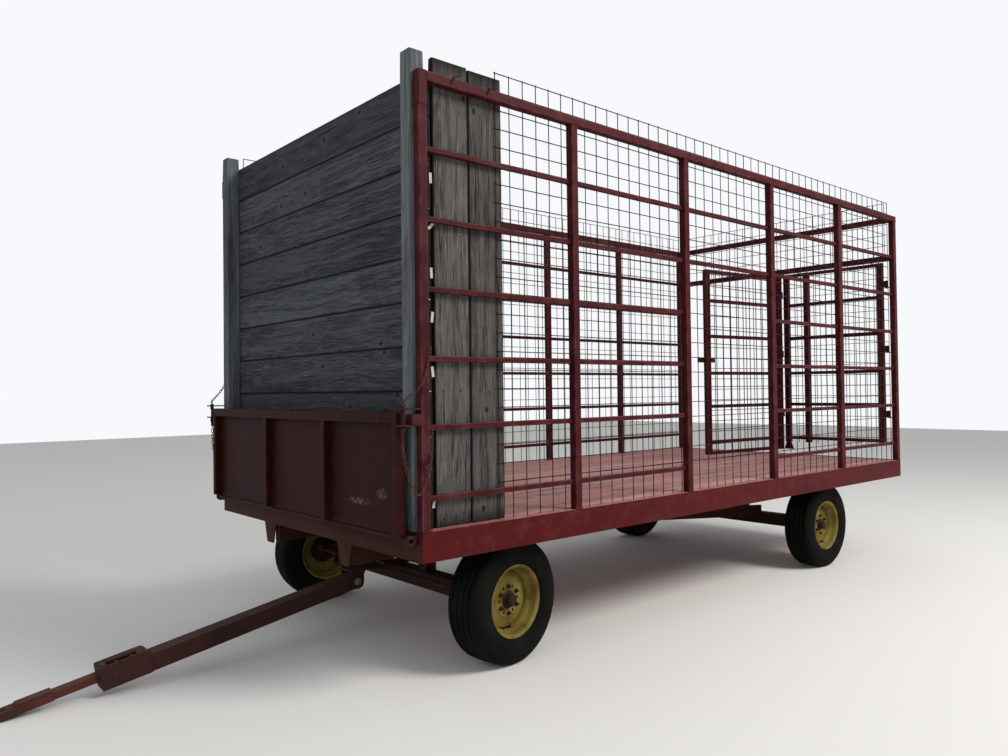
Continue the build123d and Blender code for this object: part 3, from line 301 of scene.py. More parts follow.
finishes.update({
    "red": paintedSteel("cagePaint", paint["maroon"], paint["faded"], paint["deep"]),
    # Painted shade: the gate wears the cage's paint, given darker colours that stand for the shade on the
    # front; its scuffs are real scrapes
    "gate": paintedSteel("gatePaint", (0.0260, 0.0034, 0.0034), (0.046, 0.0120, 0.0125),
                         (0.015, 0.0026, 0.0030), rustShare=0.2, dustAndSunlitShare=0.06, seed=4.0,
                         scuffs=((0.765, 0.970, 0.130, 0.022), (0.985, 1.026, 0.060, 0.032))),
    # Channel: the pale pink on its upward faces is painted sunlight along the top flange, made strong by the
    # 0.9 share
    "channel": paintedSteel("channelPaint", (0.076, 0.0048, 0.0058), (0.135, 0.036, 0.036),
                            (0.046, 0.0035, 0.0045), rustShare=0.10, dustAndSunlitShare=0.9, seed=9.0, gloss=0.36,
                            chalkedAndSunlit=(0.44, 0.150, 0.135)),
    "sill": paintedSteel("sillPaint", (0.046, 0.0130, 0.0080), (0.075, 0.030, 0.022), (0.026, 0.0075, 0.0050),
                         rustShare=0.45, dustAndSunlitShare=0.2, seed=5.0),
    # Front boards: grey weathered wood; their darker blue cast is painted shade on the front wall
    "board": weatheredWood("boardWood", (0.175, 0.188, 0.200), (0.070, 0.076, 0.083), (0.017, 0.019, 0.022),
                           (0.008, 0.008, 0.009), knotEvery=0.42),
    "plank": weatheredWood("plankWood", (0.215, 0.203, 0.188), (0.082, 0.077, 0.073), (0.022, 0.021, 0.021),
                           (0.009, 0.008, 0.007), knotEvery=0.34),
    "post": weatheredWood("postWood", (0.310, 0.345, 0.365), (0.185, 0.208, 0.222), (0.062, 0.067, 0.070),
                          (0.024, 0.023, 0.022), knotEvery=0.7),
    "deck": weatheredWood("deckWood", (0.800, 0.560, 0.520), (0.560, 0.350, 0.325), (0.190, 0.100, 0.092),
                          paintLeft=(0.500, 0.210, 0.200)),
    "tyre": rubber("tyreRubber"),
    "rim": yellowPaint("rimPaint"),
})
print("hay wagon: finishes made")


# Mesh helpers: a finished piece sits at the origin with its place in its mesh
mergeGap = 0.00002        # a node's triangles are loose, and corners nearer than this are one
phaseSpan = 6.28
edgeBand = 0.007        # strip beside a plank's corner, where its first flat column stands


def placed(name, data):
    thing = bpy.data.objects.new(name, data)
    bpy.context.scene.collection.objects.link(thing)
    return thing


def baked(thing):
    graph = bpy.context.evaluated_depsgraph_get()
    return bpy.data.meshes.new_from_object(thing.evaluated_get(graph))


def addPiece(name, mesh, finish, body, replaced=()):
    piece = placed(name, mesh)
    mesh.materials.clear()
    mesh.materials.append(finishes[finish])
    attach(piece, body)
    if replaced:
        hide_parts(*replaced)


def meshFrom(name, points, faces, smooth=True):
    mesh = bpy.data.meshes.new(name)
    mesh.from_pydata(points, [], faces)
    mesh.validate()
    for face in mesh.polygons:
        face.use_smooth = smooth
    return mesh


def meshOf(name, shape):
    mesh = bpy.data.meshes.new(name)
    shape.to_mesh(mesh)
    shape.free()
    return mesh


def facedOut(mesh, dress=None):
    shape = bmesh.new()
    shape.from_mesh(mesh)
    bmesh.ops.recalc_face_normals(shape, faces=shape.faces)
    if dress:
        dress(shape)
    shape.to_mesh(mesh)
    shape.free()
    return mesh


def store(mesh, name, values):
    mesh.attributes.new(name, "FLOAT", "POINT").data.foreach_set("value", values)


def joined(name, meshes):
    shape = bmesh.new()
    for mesh in meshes:
        shape.from_mesh(mesh)
    whole = meshOf(name, shape)
    for mesh in meshes:
        bpy.data.meshes.remove(mesh)
    return whole


# The box round each loose solid of a node, in a steady order
def solidBoxes(node):
    shape = bmesh.new()
    shape.from_mesh(nodes[node].data)
    bmesh.ops.remove_doubles(shape, verts=shape.verts, dist=mergeGap)
    left = set(shape.verts)
    boxes = []
    while left:
        group = [left.pop()]
        for vert in group:
            for edge in vert.link_edges:
                other = edge.other_vert(vert)
                if other in left:
                    left.remove(other)
                    group.append(other)
        low = Vector([min(v.co[k] for v in group) for k in range(3)])
        high = Vector([max(v.co[k] for v in group) for k in range(3)])
        boxes.append((low, high))
    shape.free()
    return sorted(boxes, key=lambda pair: tuple(round(c, 3) for c in pair[0]))


def cornered(width, thick, corner, across):
    half = Vector((width / 2, thick / 2))
    flat = half.x - corner
    near = flat - edgeBand
    row = [-flat] + [-near + 2 * near * k / across for k in range(across + 1)] + [flat]
    ring = [(x, -half.y) for x in row] + [(half.x, -half.y + corner), (half.x, half.y - corner)]
    ring += [(-x, half.y) for x in row] + [(-half.x, half.y - corner), (-half.x, -half.y + corner)]
    return ring


# Boards: each box of the node becomes a slightly bowed, worn plank with its grain map and its own tone
mapSpan = 60        # how far a board's grain map may be shifted, so that no two look alike


def boardMesh(name, boxes, along, look):
    draw = random.Random(look["seed"])
    points, faces, maps, tones, edges = [], [], [], [], []
    for low, high in boxes:
        size = high - low
        middle = (low + high) / 2
        wide, thin = sorted((k for k in range(3) if k != along), key=lambda k: -size[k])
        size[wide] += look["swell"]
        halfWide, halfThin = size[wide] / 2, size[thin] / 2
        ring = cornered(size[wide], size[thin], look["edge"], look["across"])
        steps = max(2, int(size[along] / look["step"]))
        phase = [draw.uniform(0, phaseSpan) for k in range(4)]
        bow = draw.uniform(0.3, 1.0) * look["bow"]
        cup = draw.uniform(-1.0, 1.0) * look["cup"]
        tone = draw.random()
        shiftU, shiftV = draw.uniform(0, mapSpan), draw.uniform(0, mapSpan)
        walked = [0.0]
        for a, b in zip(ring, ring[1:] + ring[:1]):
            walked.append(walked[-1] + math.dist(a, b))
        start = len(points)
        count = len(ring)
        for i in range(steps + 1):
            atEnd = i in (0, steps)
            t = i / steps
            inset = look["edge"] * 0.5 if atEnd else 0.0
            place = low[along] + size[along] * t
            if atEnd:
                place += (1 if i == 0 else -1) * draw.uniform(0.0, look["ragged"])
            sway = math.sin(t * 4.1 + phase[0]) * bow + math.sin(t * 17 + phase[1]) * bow * 0.25
            for w, h in ring:
                edgeWear = draw.uniform(0.0, look["wear"])
                outer = abs(w) / halfWide
                spot = [0.0, 0.0, 0.0]
                spot[along] = place
                spot[wide] = middle[wide] + w * (1 - (inset + edgeWear * outer) / halfWide)
                spot[thin] = middle[thin] + h * (1 - inset / halfThin) - (1 - outer ** 2) * cup + sway
                points.append(spot)
                # A board's rims and ends carry the edge value, which darkens them as painted shade in the
                # gaps
                rim = atEnd or abs(w) > halfWide - look["edge"] - 0.001
                edges.append(look["stain"] if rim else 0.0)
        for i in range(steps):
            u0 = shiftU + size[along] * i / steps
            u1 = shiftU + size[along] * (i + 1) / steps
            for j in range(count):
                a = start + i * count + j
                b = start + i * count + (j + 1) % count
                faces.append((a, b, b + count, a + count))
                v0, v1 = shiftV + walked[j], shiftV + walked[j + 1]
                maps.append(((u0, v0), (u0, v1), (u1, v1), (u1, v0)))
        for i in (0, steps):
            order = list(range(count))
            if i == 0:
                order.reverse()
            faces.append(tuple(start + i * count + j for j in order))
            maps.append(tuple((shiftU + ring[j][1] * 0.3, shiftV + ring[j][0]) for j in order))
        tones += [tone] * (len(points) - start)
    mesh = bpy.data.meshes.new(name)
    mesh.from_pydata(points, [], faces)
    grain = mesh.uv_layers.new(name="grain")
    for face, corners in zip(mesh.polygons, maps):
        for loop, corner in zip(face.loop_indices, corners):
            grain.data[loop].uv = corner
    store(mesh, "tone", tones)
    store(mesh, "edge", edges)
    return facedOut(mesh)


woodLooks = {
    "front_boards": {
        "axis": 1, "finish": "board", "slot": "grey_wood", "seed": 11, "swell": 0.0068, "stain": 1.0,
        "step": 0.085, "across": 6, "edge": 0.0050, "bow": 0.0012, "cup": 0.0012, "ragged": 0.004,
        "wear": 0.0010,
    },
    "wood_posts": {
        "axis": 2, "finish": "post", "slot": "grey_wood", "seed": 5, "swell": 0.0, "stain": 0.0,
        "step": 0.10, "across": 3, "edge": 0.004, "bow": 0.0015, "cup": 0.0003, "ragged": 0.0,
        "wear": 0.0012,
    },
    "side_planks": {
        "axis": 2, "finish": "plank", "slot": "grey_wood", "seed": 23, "swell": 0.0, "stain": 1.0,
        "step": 0.085, "across": 6, "edge": 0.0035, "bow": 0.0012, "cup": 0.0010, "ragged": 0.0,
        "wear": 0.0012,
    },
    "deck": {
        "axis": 0, "finish": "deck", "slot": "deck_wood", "seed": 31, "swell": 0.001, "stain": 0.8,
        "step": 0.14, "across": 4, "edge": 0.003, "bow": 0.0004, "cup": 0.0005, "ragged": 0.003,
        "wear": 0.0008,
    },
}
for node, look in woodLooks.items():
    mesh = boardMesh(node + "_worn", solidBoxes(node), look["axis"], look)
    addPiece(node + "_worn", mesh, look["finish"], "wagon", [node])
print("hay wagon: boards made")


# Geometry Nodes: a tree wrapped like a finish, run on a base mesh and turned into a plain mesh
class Shaper(Net):
    def __init__(self, name, sizes):
        super().__init__(bpy.data.node_groups.new(name, "GeometryNodeTree"))
        face = self.tree.interface
        face.new_socket("Base", in_out="INPUT", socket_type="NodeSocketGeometry")
        self.keys = {}
        for label, value in sizes.items():
            socket = face.new_socket(label, in_out="INPUT", socket_type="NodeSocketFloat")
            socket.default_value = value
            self.keys[label] = socket.identifier
        face.new_socket("Shape", in_out="OUTPUT", socket_type="NodeSocketGeometry")
        self.inlet = self.tree.nodes.new("NodeGroupInput")

    def given(self, label):
        return Wire(self, self.inlet.outputs[label])

    def spaced(self, step):        # the base's edges as curves with a point at every step
        line = self.add("GeometryNodeMeshToCurve", {}, {"Mesh": self.given("Base")})
        inputs = {"Curve": line, "Length": self.given(step)}
        return self.add("GeometryNodeResampleCurve", {"mode": "LENGTH"}, inputs)

    def circle(self, sides, radius):
        inputs = {"Resolution": sides, "Radius": self.given(radius)}
        return self.add("GeometryNodeCurvePrimitiveCircle", {}, inputs)

    def swept(self, line, section, caps=True, scale=1.0):
        inputs = {"Curve": line, "Profile Curve": section, "Scale": scale, "Fill Caps": caps}
        tube = self.add("GeometryNodeCurveToMesh", {}, inputs)
        return self.add("GeometryNodeSetShadeSmooth", {}, {0: tube})

    def stored(self, name, kind):
        return self.add("GeometryNodeInputNamedAttribute", {"data_type": kind}, {"Name": name})

    def seated(self, shape):        # the shape on every point of the base, by the point's size and facing
        size = self.stored("size", "FLOAT")
        facing = self.stored("facing", "FLOAT_VECTOR")
        aim = self.add("FunctionNodeAlignRotationToVector", {"axis": "Z"}, {"Vector": facing})
        seats = self.add("GeometryNodeMeshToPoints", {}, {"Mesh": self.given("Base")})
        inputs = {"Points": seats, "Instance": shape, "Rotation": aim, "Scale": size}
        return self.add("GeometryNodeInstanceOnPoints", {}, inputs)

    def close(self, shape, finish):
        real = self.add("GeometryNodeRealizeInstances", {}, {0: shape})
        inputs = {"Geometry": real, "Material": finishes[finish]}
        painted = self.add("GeometryNodeSetMaterial", {}, inputs)
        outlet = self.tree.nodes.new("NodeGroupOutput")
        self.tree.links.new(painted.socket, outlet.inputs[0])

    def run(self, name, base, sizes=None):
        carrier = placed(name + "_base", base)
        modifier = carrier.modifiers.new("shape", "NODES")
        modifier.node_group = self.tree
        for label, value in (sizes or {}).items():
            modifier[self.keys[label]] = value
        made = baked(carrier)
        made.name = name
        carrier.modifiers.remove(modifier)
        bpy.data.objects.remove(carrier)
        return made


def lineBase(name, lines):
    points, edges = [], []
    for line in lines:
        for i, spot in enumerate(line):
            points.append(spot)
            if i:
                edges.append((len(points) - 2, len(points) - 1))
    base = bpy.data.meshes.new(name)
    base.from_pydata(points, edges, [])
    return base


# Welded wire: every edge chain of the base becomes a round wire, a little uneven
wireLook = {"radius": 0.0030, "waver": 0.0016, "step": 0.22, "sides": 6}
wireTree = Shaper("weldedWire", {"Radius": wireLook["radius"], "Waver": wireLook["waver"]})
here = wireTree.add("GeometryNodeInputPosition")
drift = wireTree.add("ShaderNodeTexNoise", {}, {"Vector": here, "Scale": 1.9, "Detail": 1.0}, out="Color")
centred = wireTree.add("ShaderNodeVectorMath", {"operation": "SUBTRACT"}, {0: drift, 1: (0.5, 0.5, 0.5)})
shift = {0: centred, "Scale": wireTree.given("Waver") * 2.0}
nudge = wireTree.add("ShaderNodeVectorMath", {"operation": "SCALE"}, shift)
inputs = {"Geometry": wireTree.given("Base"), "Offset": nudge}
moved = wireTree.add("GeometryNodeSetPosition", {}, inputs)
line = wireTree.add("GeometryNodeMeshToCurve", {}, {"Mesh": moved})
wireTree.close(wireTree.swept(line, wireTree.circle(wireLook["sides"], "Radius")), "red")


def wireLine(low, high):
    size = high - low
    long = max(range(3), key=lambda k: size[k])
    steps = max(2, round(size[long] / wireLook["step"]))
    line = [(low + high) / 2 for i in range(steps + 1)]
    for i, spot in enumerate(line):
        spot[long] = low[long] + size[long] * i / steps
    return line


wireGroups = {
    "wire_left": ("wagon", ["mesh_uprights_left", "mesh_lines_left"]),
    "wire_right": ("wagon", ["mesh_uprights_right", "mesh_lines_right"]),
    "wire_rear": ("wagon", ["rear_mesh_uprights", "rear_mesh_lines"]),
    "wire_rear_gate": ("rear_gate", ["rear_gate_mesh_uprights", "rear_gate_mesh_lines"]),
}
for name, (body, members) in wireGroups.items():
    lines = [wireLine(*box) for node in members for box in solidBoxes(node)]
    addPiece(name, wireTree.run(name, lineBase(name, lines)), "wire", body, members)
print("hay wagon: wire made")


# Turned pieces: a closed outline of (radius, along) pairs goes once round the axle
def turned(name, outline, steps, centre, outward):
    axis = Vector(outward).normalized()
    first = axis.orthogonal().normalized()
    second = axis.cross(first)
    points, faces = [], []
    count = len(outline)
    for i in range(steps):
        angle = 2 * math.pi * i / steps
        spoke = first * math.cos(angle) + second * math.sin(angle)
        points += [Vector(centre) + spoke * radius + axis * along for radius, along in outline]
        n = (i + 1) % steps
        for j in range(count):
            k = (j + 1) % count
            faces.append((i * count + j, i * count + k, n * count + k, n * count + j))
    return facedOut(meshFrom(name, points, faces))


axleX, rearX = 1.228, -2.402        # the two axles, where the frame has them
wheelSpots = {
    "front_left": ((1.19997, 1.00829, 0.356), (-0.12187, 0.99255, 0.0)),
    # Known fault: the frame's axle points along (0.12187, -0.99255, 0.0) here
    "front_right": ((1.25603, -1.00829, 0.356), (-0.12187, -0.99255, 0.0)),
    "rear_left": ((rearX, 1.01, 0.356), (0.0, 1.0, 0.0)),
    "rear_right": ((rearX, -1.01, 0.356), (0.0, -1.0, 0.0)),
}
upward = Vector((0, 0, 1))
tyreLook = {
    "radius": 0.356, "bead": 0.1905, "beadHalf": 0.0885, "tread": 0.086, "crown": 0.0035, "steps": 96,
    "grooves": (-0.060, -0.021, 0.021, 0.060), "grooveHalf": 0.0045, "grooveDepth": 0.010, "lip": 0.0015,
}


def mirrored(run):
    return [(radius, -along) for radius, along in reversed(run)]


def tyreOutline(look):
    half, lip = look["grooveHalf"], look["lip"]
    places = [(-look["tread"], 0)]
    for groove in look["grooves"]:
        for away, deep in ((half + lip, 0), (half, 0.4), (half * 0.5, 1)):
            places.append((groove - away, deep))
        for away, deep in ((half * 0.5, 1), (half, 0.4), (half + lip, 0)):
            places.append((groove + away, deep))
    places.append((look["tread"], 0))
    tread = []
    for along, deep in places:
        crown = look["crown"] * (along / look["tread"]) ** 2
        tread.append((look["radius"] - crown - deep * look["grooveDepth"], along))
    side = [
        (0.3480, 0.0945), (0.3400, 0.1010), (0.3360, 0.1025), (0.3335, 0.1055), (0.3200, 0.1105),
        (0.3000, 0.1140), (0.2800, 0.1150), (0.2640, 0.1145), (0.2600, 0.1158), (0.2560, 0.1140),
        (0.2400, 0.1110), (0.2300, 0.1085), (0.2270, 0.1095), (0.2230, 0.1070), (0.2150, 0.1010),
        (0.2105, 0.0970), (0.2085, 0.0935), (0.1990, 0.0905), (look["bead"], look["beadHalf"]),
    ]
    return tread + side + mirrored(side)


rimLook = {
    "flange": 0.207, "half": 0.101, "seat": 0.1895, "wall": 0.0045, "well": 0.166, "disc": 0.037,
    "discThick": 0.006, "steps": 96, "hubSteps": 48, "nuts": 6, "nutCircle": 0.0762, "nutRadius": 0.0125,
    "nutHeight": 0.011, "stud": 0.010, "seatGap": 0.0002, "holes": 6, "holeCircle": 0.0762, "hole": 0.0085,
}


def rimOutline(look):
    top, half, seat, wall, well = (look[key] for key in ("flange", "half", "seat", "wall", "well"))
    outer = [
        (top - 0.001, half - 0.0005), (top, half - 0.003), (top - 0.0005, half - 0.0062),
        (seat + 0.009, half - 0.009), (seat + 0.003, half - 0.0115), (seat, half - 0.016),
        (seat - 0.001, half - 0.044), (seat - 0.006, half - 0.049), (well + wall, half - 0.060),
    ]
    inner = [
        (well, half - 0.062), (seat - 0.011, half - 0.0515), (seat - wall - 0.001, half - 0.043),
        (seat - wall, half - 0.016), (seat - wall + 0.004, half - 0.009), (seat + 0.008, half - 0.0045),
        (top - 0.005, half - 0.0005), (top - 0.003, half),
    ]
    return outer + mirrored(outer) + mirrored(inner) + inner


def discOutline(look):
    face = look["disc"]
    front = [
        (0.030, face), (0.094, face), (0.099, face - 0.001), (0.104, face - 0.005), (0.118, face - 0.010),
        (0.140, face - 0.014), (0.156, face - 0.018), (0.1655, face - 0.024),
    ]
    return front + [(radius, along - look["discThick"]) for radius, along in reversed(front)]


def hubOutline(look):
    face = look["disc"]
    return [
        (0.0222, -0.060), (0.0222, face + 0.030), (0.001, face + 0.032), (0.001, face + 0.046),
        (0.012, face + 0.0455), (0.024, face + 0.043), (0.032, face + 0.037), (0.0355, face + 0.030),
        (0.036, face + 0.006), (0.0385, face + 0.0035), (0.0500, face + 0.003), (0.0515, face + 0.001),
        (0.0515, face - 0.0065), (0.094, face - 0.0065), (0.095, face - 0.017), (0.055, face - 0.020),
        (0.053, -0.058),
    ]


def nutMesh(name, centre, outward, look):
    axis = Vector(outward).normalized()
    side = axis.cross(upward)
    height, radius = look["nutHeight"], look["nutRadius"]
    stages = (        # sides, from, to, radius and taper: the nut, its chamfer and the stud's end
        (6, 0.0, height * 0.8, radius, 1.0), (6, height * 0.8, height, radius, 0.86),
        (8, height, height + look["stud"], radius * 0.5, 0.9),
    )
    shape = bmesh.new()
    for k in range(look["nuts"]):
        angle = 2 * math.pi * k / look["nuts"]
        at = Vector(centre) + (upward * math.cos(angle) + side * math.sin(angle)) * look["nutCircle"]
        for sides, low, high, size, taper in stages:
            rings = []
            for along, grow in ((low, 1.0), (high, taper)):
                turns = [2 * math.pi * m / sides + k for m in range(sides)]
                spokes = [upward * math.cos(turn) + side * math.sin(turn) for turn in turns]
                rings.append([shape.verts.new(at + axis * along + spoke * size * grow) for spoke in spokes])
            for m in range(sides):
                n = (m + 1) % sides
                shape.faces.new((rings[0][m], rings[0][n], rings[1][n], rings[1][m]))
            shape.faces.new(rings[1])
            shape.faces.new(list(reversed(rings[0])))
    bmesh.ops.recalc_face_normals(shape, faces=shape.faces)
    return meshOf(name, shape)


def drilled(mesh, centre, outward, look):
    axis = Vector(outward).normalized()
    side = axis.cross(upward)
    turn = axis.to_track_quat("Z", "Y").to_matrix().to_4x4()
    disc = placed("disc", mesh)
    pegs = bmesh.new()
    step = 2 * math.pi / look["holes"]
    for k in range(look["holes"]):
        angle = step / 2 + k * step        # between the nuts
        spoke = (upward * math.cos(angle) + side * math.sin(angle)) * look["holeCircle"]
        at = Matrix.Translation(Vector(centre) + spoke + axis * look["disc"])
        bmesh.ops.create_cone(pegs, cap_ends=True, segments=12, radius1=look["hole"], radius2=look["hole"],
                              depth=look["discThick"] * 5, matrix=at @ turn)
    peg = placed("pegs", meshOf("pegs", pegs))
    cut = disc.modifiers.new("cut", "BOOLEAN")
    cut.object = peg
    cut.solver = "EXACT"
    done = baked(disc)
    for spare in (disc, peg):
        bpy.data.objects.remove(spare)
    return done


for corner, (centre, outward) in wheelSpots.items():
    body = "wheel_" + corner
    tyre = turned("tyre_tread_" + corner, tyreOutline(tyreLook), tyreLook["steps"], centre, outward)
    addPiece("tyre_tread_" + corner, tyre, "tyre", body, ["tyre_" + corner])
    disc = turned("disc", discOutline(rimLook), rimLook["steps"], centre, outward)
    rim = turned("rim", rimOutline(rimLook), rimLook["steps"], centre, outward)
    rim = joined("rim_" + corner, [rim, drilled(disc, centre, outward, rimLook)])
    addPiece("rim_" + corner, rim, "rim", body, ["wheel_" + corner])
    face = Vector(centre) + Vector(outward) * (rimLook["disc"] + rimLook["seatGap"])
    hub = turned("hub", hubOutline(rimLook), rimLook["hubSteps"], centre, outward)
    hub = joined("hub_" + corner, [hub, nutMesh("nuts", face, outward, rimLook)])
    addPiece("hub_" + corner, hub, "bareRust", body)
print("hay wagon: wheels made")


# Geometry Nodes trees for the small repeated steel: weld beads, chain links, bolt heads and nail heads
beadTree = Shaper("weldBead", {"Radius": 0.0034, "Ripple": 0.0060, "Lump": 0.45})
inputs = {"Vector": beadTree.add("GeometryNodeInputPosition"), "Scale": 95.0, "Detail": 0.0}
swell = beadTree.given("Lump") * (beadTree.add("ShaderNodeTexNoise", {}, inputs) - 0.5) * 2.0 + 1.0
beadTree.close(beadTree.swept(beadTree.spaced("Ripple"), beadTree.circle(5, "Radius"), scale=swell), "red")

chainTree = Shaper("chainLinks", {"Pitch": 0.0215, "Width": 0.0062, "Straight": 0.0070, "Wire": 0.0024})
quarter, lean = math.pi / 2, 0.4        # every second link stands across, and all lean a little
spot = chainTree.split(chainTree.add("GeometryNodeInputPosition"), "X")
push = chainTree.add("ShaderNodeMath", {"operation": "SIGN"}, {0: spot}) * chainTree.given("Straight")
inputs = {"Geometry": chainTree.circle(12, "Width"), "Offset": chainTree.join(push)}
loop = chainTree.add("GeometryNodeSetPosition", {}, inputs)
link = chainTree.swept(loop, chainTree.circle(6, "Wire"), caps=False)
tangent = chainTree.add("GeometryNodeInputTangent")
aimed = chainTree.add("FunctionNodeAlignRotationToVector", {"axis": "X"}, {"Vector": tangent})
index = chainTree.add("GeometryNodeInputIndex")
odd = chainTree.add("ShaderNodeMath", {"operation": "MODULO"}, {0: index, 1: 2.0})
inputs = {"Axis": (1, 0, 0), "Angle": odd * quarter + lean}
roll = chainTree.add("FunctionNodeAxisAngleToRotation", {}, inputs)
turn = chainTree.add("FunctionNodeRotateRotation", {"rotation_space": "LOCAL"}, {0: aimed, 1: roll})
inputs = {"Points": chainTree.spaced("Pitch"), "Instance": link, "Rotation": turn}
chainTree.close(chainTree.add("GeometryNodeInstanceOnPoints", {}, inputs), "bareRust")

boltTree = Shaper("boltHeads", {"Height": 0.55, "Washer": 1.45, "Sides": 6.0, "Stub": 0.0})
puckLook = {        # shares of the bolt's size
    "washerThick": 0.14, "washerSides": 12, "stubSides": 8, "stubRadius": 0.52, "seat": 0.12, "sunk": 0.02,
}


def puck(sides, radius, depth, rise):
    inputs = {"Vertices": sides, "Radius": radius, "Depth": depth}
    barrel = boltTree.add("GeometryNodeMeshCylinder", {}, inputs)
    lift = {"Geometry": barrel, "Translation": boltTree.join(z=rise)}
    return boltTree.add("GeometryNodeTransform", {}, lift)


headHeight, stubHeight = boltTree.given("Height"), boltTree.given("Stub")
thick, seat = puckLook["washerThick"], puckLook["seat"]
head = puck(boltTree.given("Sides"), 1.0, headHeight, headHeight * 0.5 + seat)
washer = puck(puckLook["washerSides"], boltTree.given("Washer"), thick, thick / 2)
stubRise = headHeight + stubHeight * 0.5 + seat
stub = puck(puckLook["stubSides"], puckLook["stubRadius"], stubHeight + puckLook["sunk"], stubRise)
whole = boltTree.add("GeometryNodeJoinGeometry")
for part in (head, washer, stub):
    boltTree.tree.links.new(part.socket, whole.socket.node.inputs[0])
boltTree.close(boltTree.seated(whole), "darkSteel")

# A plain low disc for the nails, as they repeat in hundreds
nailTree = Shaper("nailHeads", {"Sides": 7.0, "Height": 0.45})
inputs = {
    "Vertices": nailTree.given("Sides"), "Radius Top": 0.7, "Radius Bottom": 1.0,
    "Depth": nailTree.given("Height"),
}
nailTree.close(nailTree.seated(nailTree.add("GeometryNodeMeshCone", {}, inputs)), "bareRust")


def boltBase(name, bolts):
    places, facings, sizes = zip(*bolts)
    base = bpy.data.meshes.new(name)
    base.from_pydata(places, [], [])
    store(base, "size", sizes)
    flat = [c for facing in facings for c in facing]
    base.attributes.new("facing", "FLOAT_VECTOR", "POINT").data.foreach_set("vector", flat)
    return base


def smoothLine(name, points, radius, taper=None, fine=10):
    data = bpy.data.curves.new(name, "CURVE")
    data.dimensions = "3D"
    data.bevel_depth = radius
    data.bevel_resolution = 2        # eight sides
    data.resolution_u = fine
    data.use_fill_caps = True
    run = data.splines.new("NURBS")
    run.points.add(len(points) - 1)
    for k, spot in enumerate(points):
        run.points[k].co = (*spot, 1.0)
        run.points[k].radius = taper[k] if taper else 1.0
    run.order_u = 3
    run.use_endpoint_u = True
    carrier = placed(name, data)
    mesh = baked(carrier)
    bpy.data.objects.remove(carrier)
    return mesh


def allSmooth(shape):
    for face in shape.faces:
        face.smooth = True


def rodMesh(name, points, radius, taper=None, fine=10):
    return facedOut(smoothLine(name, points, radius, taper, fine), allSmooth)


def ringMesh(name, centre, normal, radius, wire, sides=8, steps=20):
    angles = [2 * math.pi * k / sides for k in range(sides)]
    outline = [(radius + wire * math.cos(angle), wire * math.sin(angle)) for angle in angles]
    return turned(name, outline, steps, centre, normal)


print("hay wagon: small steel trees made")


# Latch chains: drawn paths at the left corner, mirrored to the right one
chainLook = {
    "front": 1.928, "side": 1.255, "fine": 16,
    "upper": (
        (0.096, -0.0254, 1.4990), (0.058, -0.0060, 1.5290), (0.022, 0.0105, 1.5640), (-0.006, 0.0110, 1.6000),
        (-0.026, 0.0110, 1.6500), (-0.038, 0.0095, 1.7000), (-0.050, 0.0040, 1.7500),
        (-0.058, -0.0040, 1.7820), (-0.064, -0.0200, 1.7720), (-0.066, -0.0420, 1.7450),
        (-0.066, -0.0560, 1.7280),
    ),
    "lower": (
        (0.096, -0.0254, 1.3060), (0.094, -0.0220, 1.2300), (0.082, -0.0100, 1.1500), (0.063, 0.0060, 1.0750),
        (0.034, 0.0105, 1.0340), (0.006, 0.0110, 1.0560), (-0.018, 0.0110, 1.1100), (-0.036, 0.0110, 1.1650),
        (-0.050, 0.0080, 1.2150), (-0.060, 0.0020, 1.2800), (-0.062, -0.0010, 1.3400),
        (-0.062, -0.0100, 1.3860), (-0.066, -0.0330, 1.3900), (-0.066, -0.0560, 1.3760),
    ),
    "spare": (
        (-0.036, 0.0150, 1.1700), (-0.020, 0.0160, 1.1860), (-0.010, 0.0150, 1.1740),
        (-0.016, 0.0150, 1.1600),
    ),
}


def chainRun(points, sign):
    made = smoothLine("chainRun", points, 0.0, fine=chainLook["fine"])
    line = [v.co.copy() for v in made.vertices]
    bpy.data.meshes.remove(made)
    x, y = chainLook["front"], chainLook["side"]
    return [(x + p.x, sign * (y + p.y), p.z) for p in line]


runs = [chainRun(chainLook[key], sign) for sign in (1, -1) for key in ("upper", "lower", "spare")]
made = chainTree.run("latch_chain_links", lineBase("chainBase", runs))
addPiece("latch_chain_links", made, "chain", "wagon", ["latch_chains"])

# Latch pin fittings: a ring through the head, collars on the shank and a ring at the foot
pinLook = {
    "x": 2.024, "y": 1.2296, "shank": 0.0078, "soft": 0.0015, "steps": 20,
    "rings": (("headRing", 1.4848, 0.6, 0.0115, 0.0030), ("footRing", 1.3148, 0.3, 0.0090, 0.0025)),
    "collars": ((1.4395, 1.4570, 0.0125), (1.3480, 1.3760, 0.0120), (1.3300, 1.3345, 0.0105)),
}
shank, soft = pinLook["shank"], pinLook["soft"]
fittings = []
for sign in (1, -1):
    x, y = pinLook["x"], sign * pinLook["y"]
    for name, z, lean, radius, wire in pinLook["rings"]:
        fittings.append(ringMesh(name, (x, y, z), (1, sign * lean, 0), radius, wire))
    for low, high, radius in pinLook["collars"]:
        outline = [
            (shank, low), (radius - soft, low), (radius, low + soft), (radius, high - soft),
            (radius - soft, high), (shank, high),
        ]
        fittings.append(turned("collar", outline, pinLook["steps"], (x, y, 0.0), upward))
addPiece("latch_pin_rings", joined("latch_pin_rings", fittings), "bareRust", "wagon")

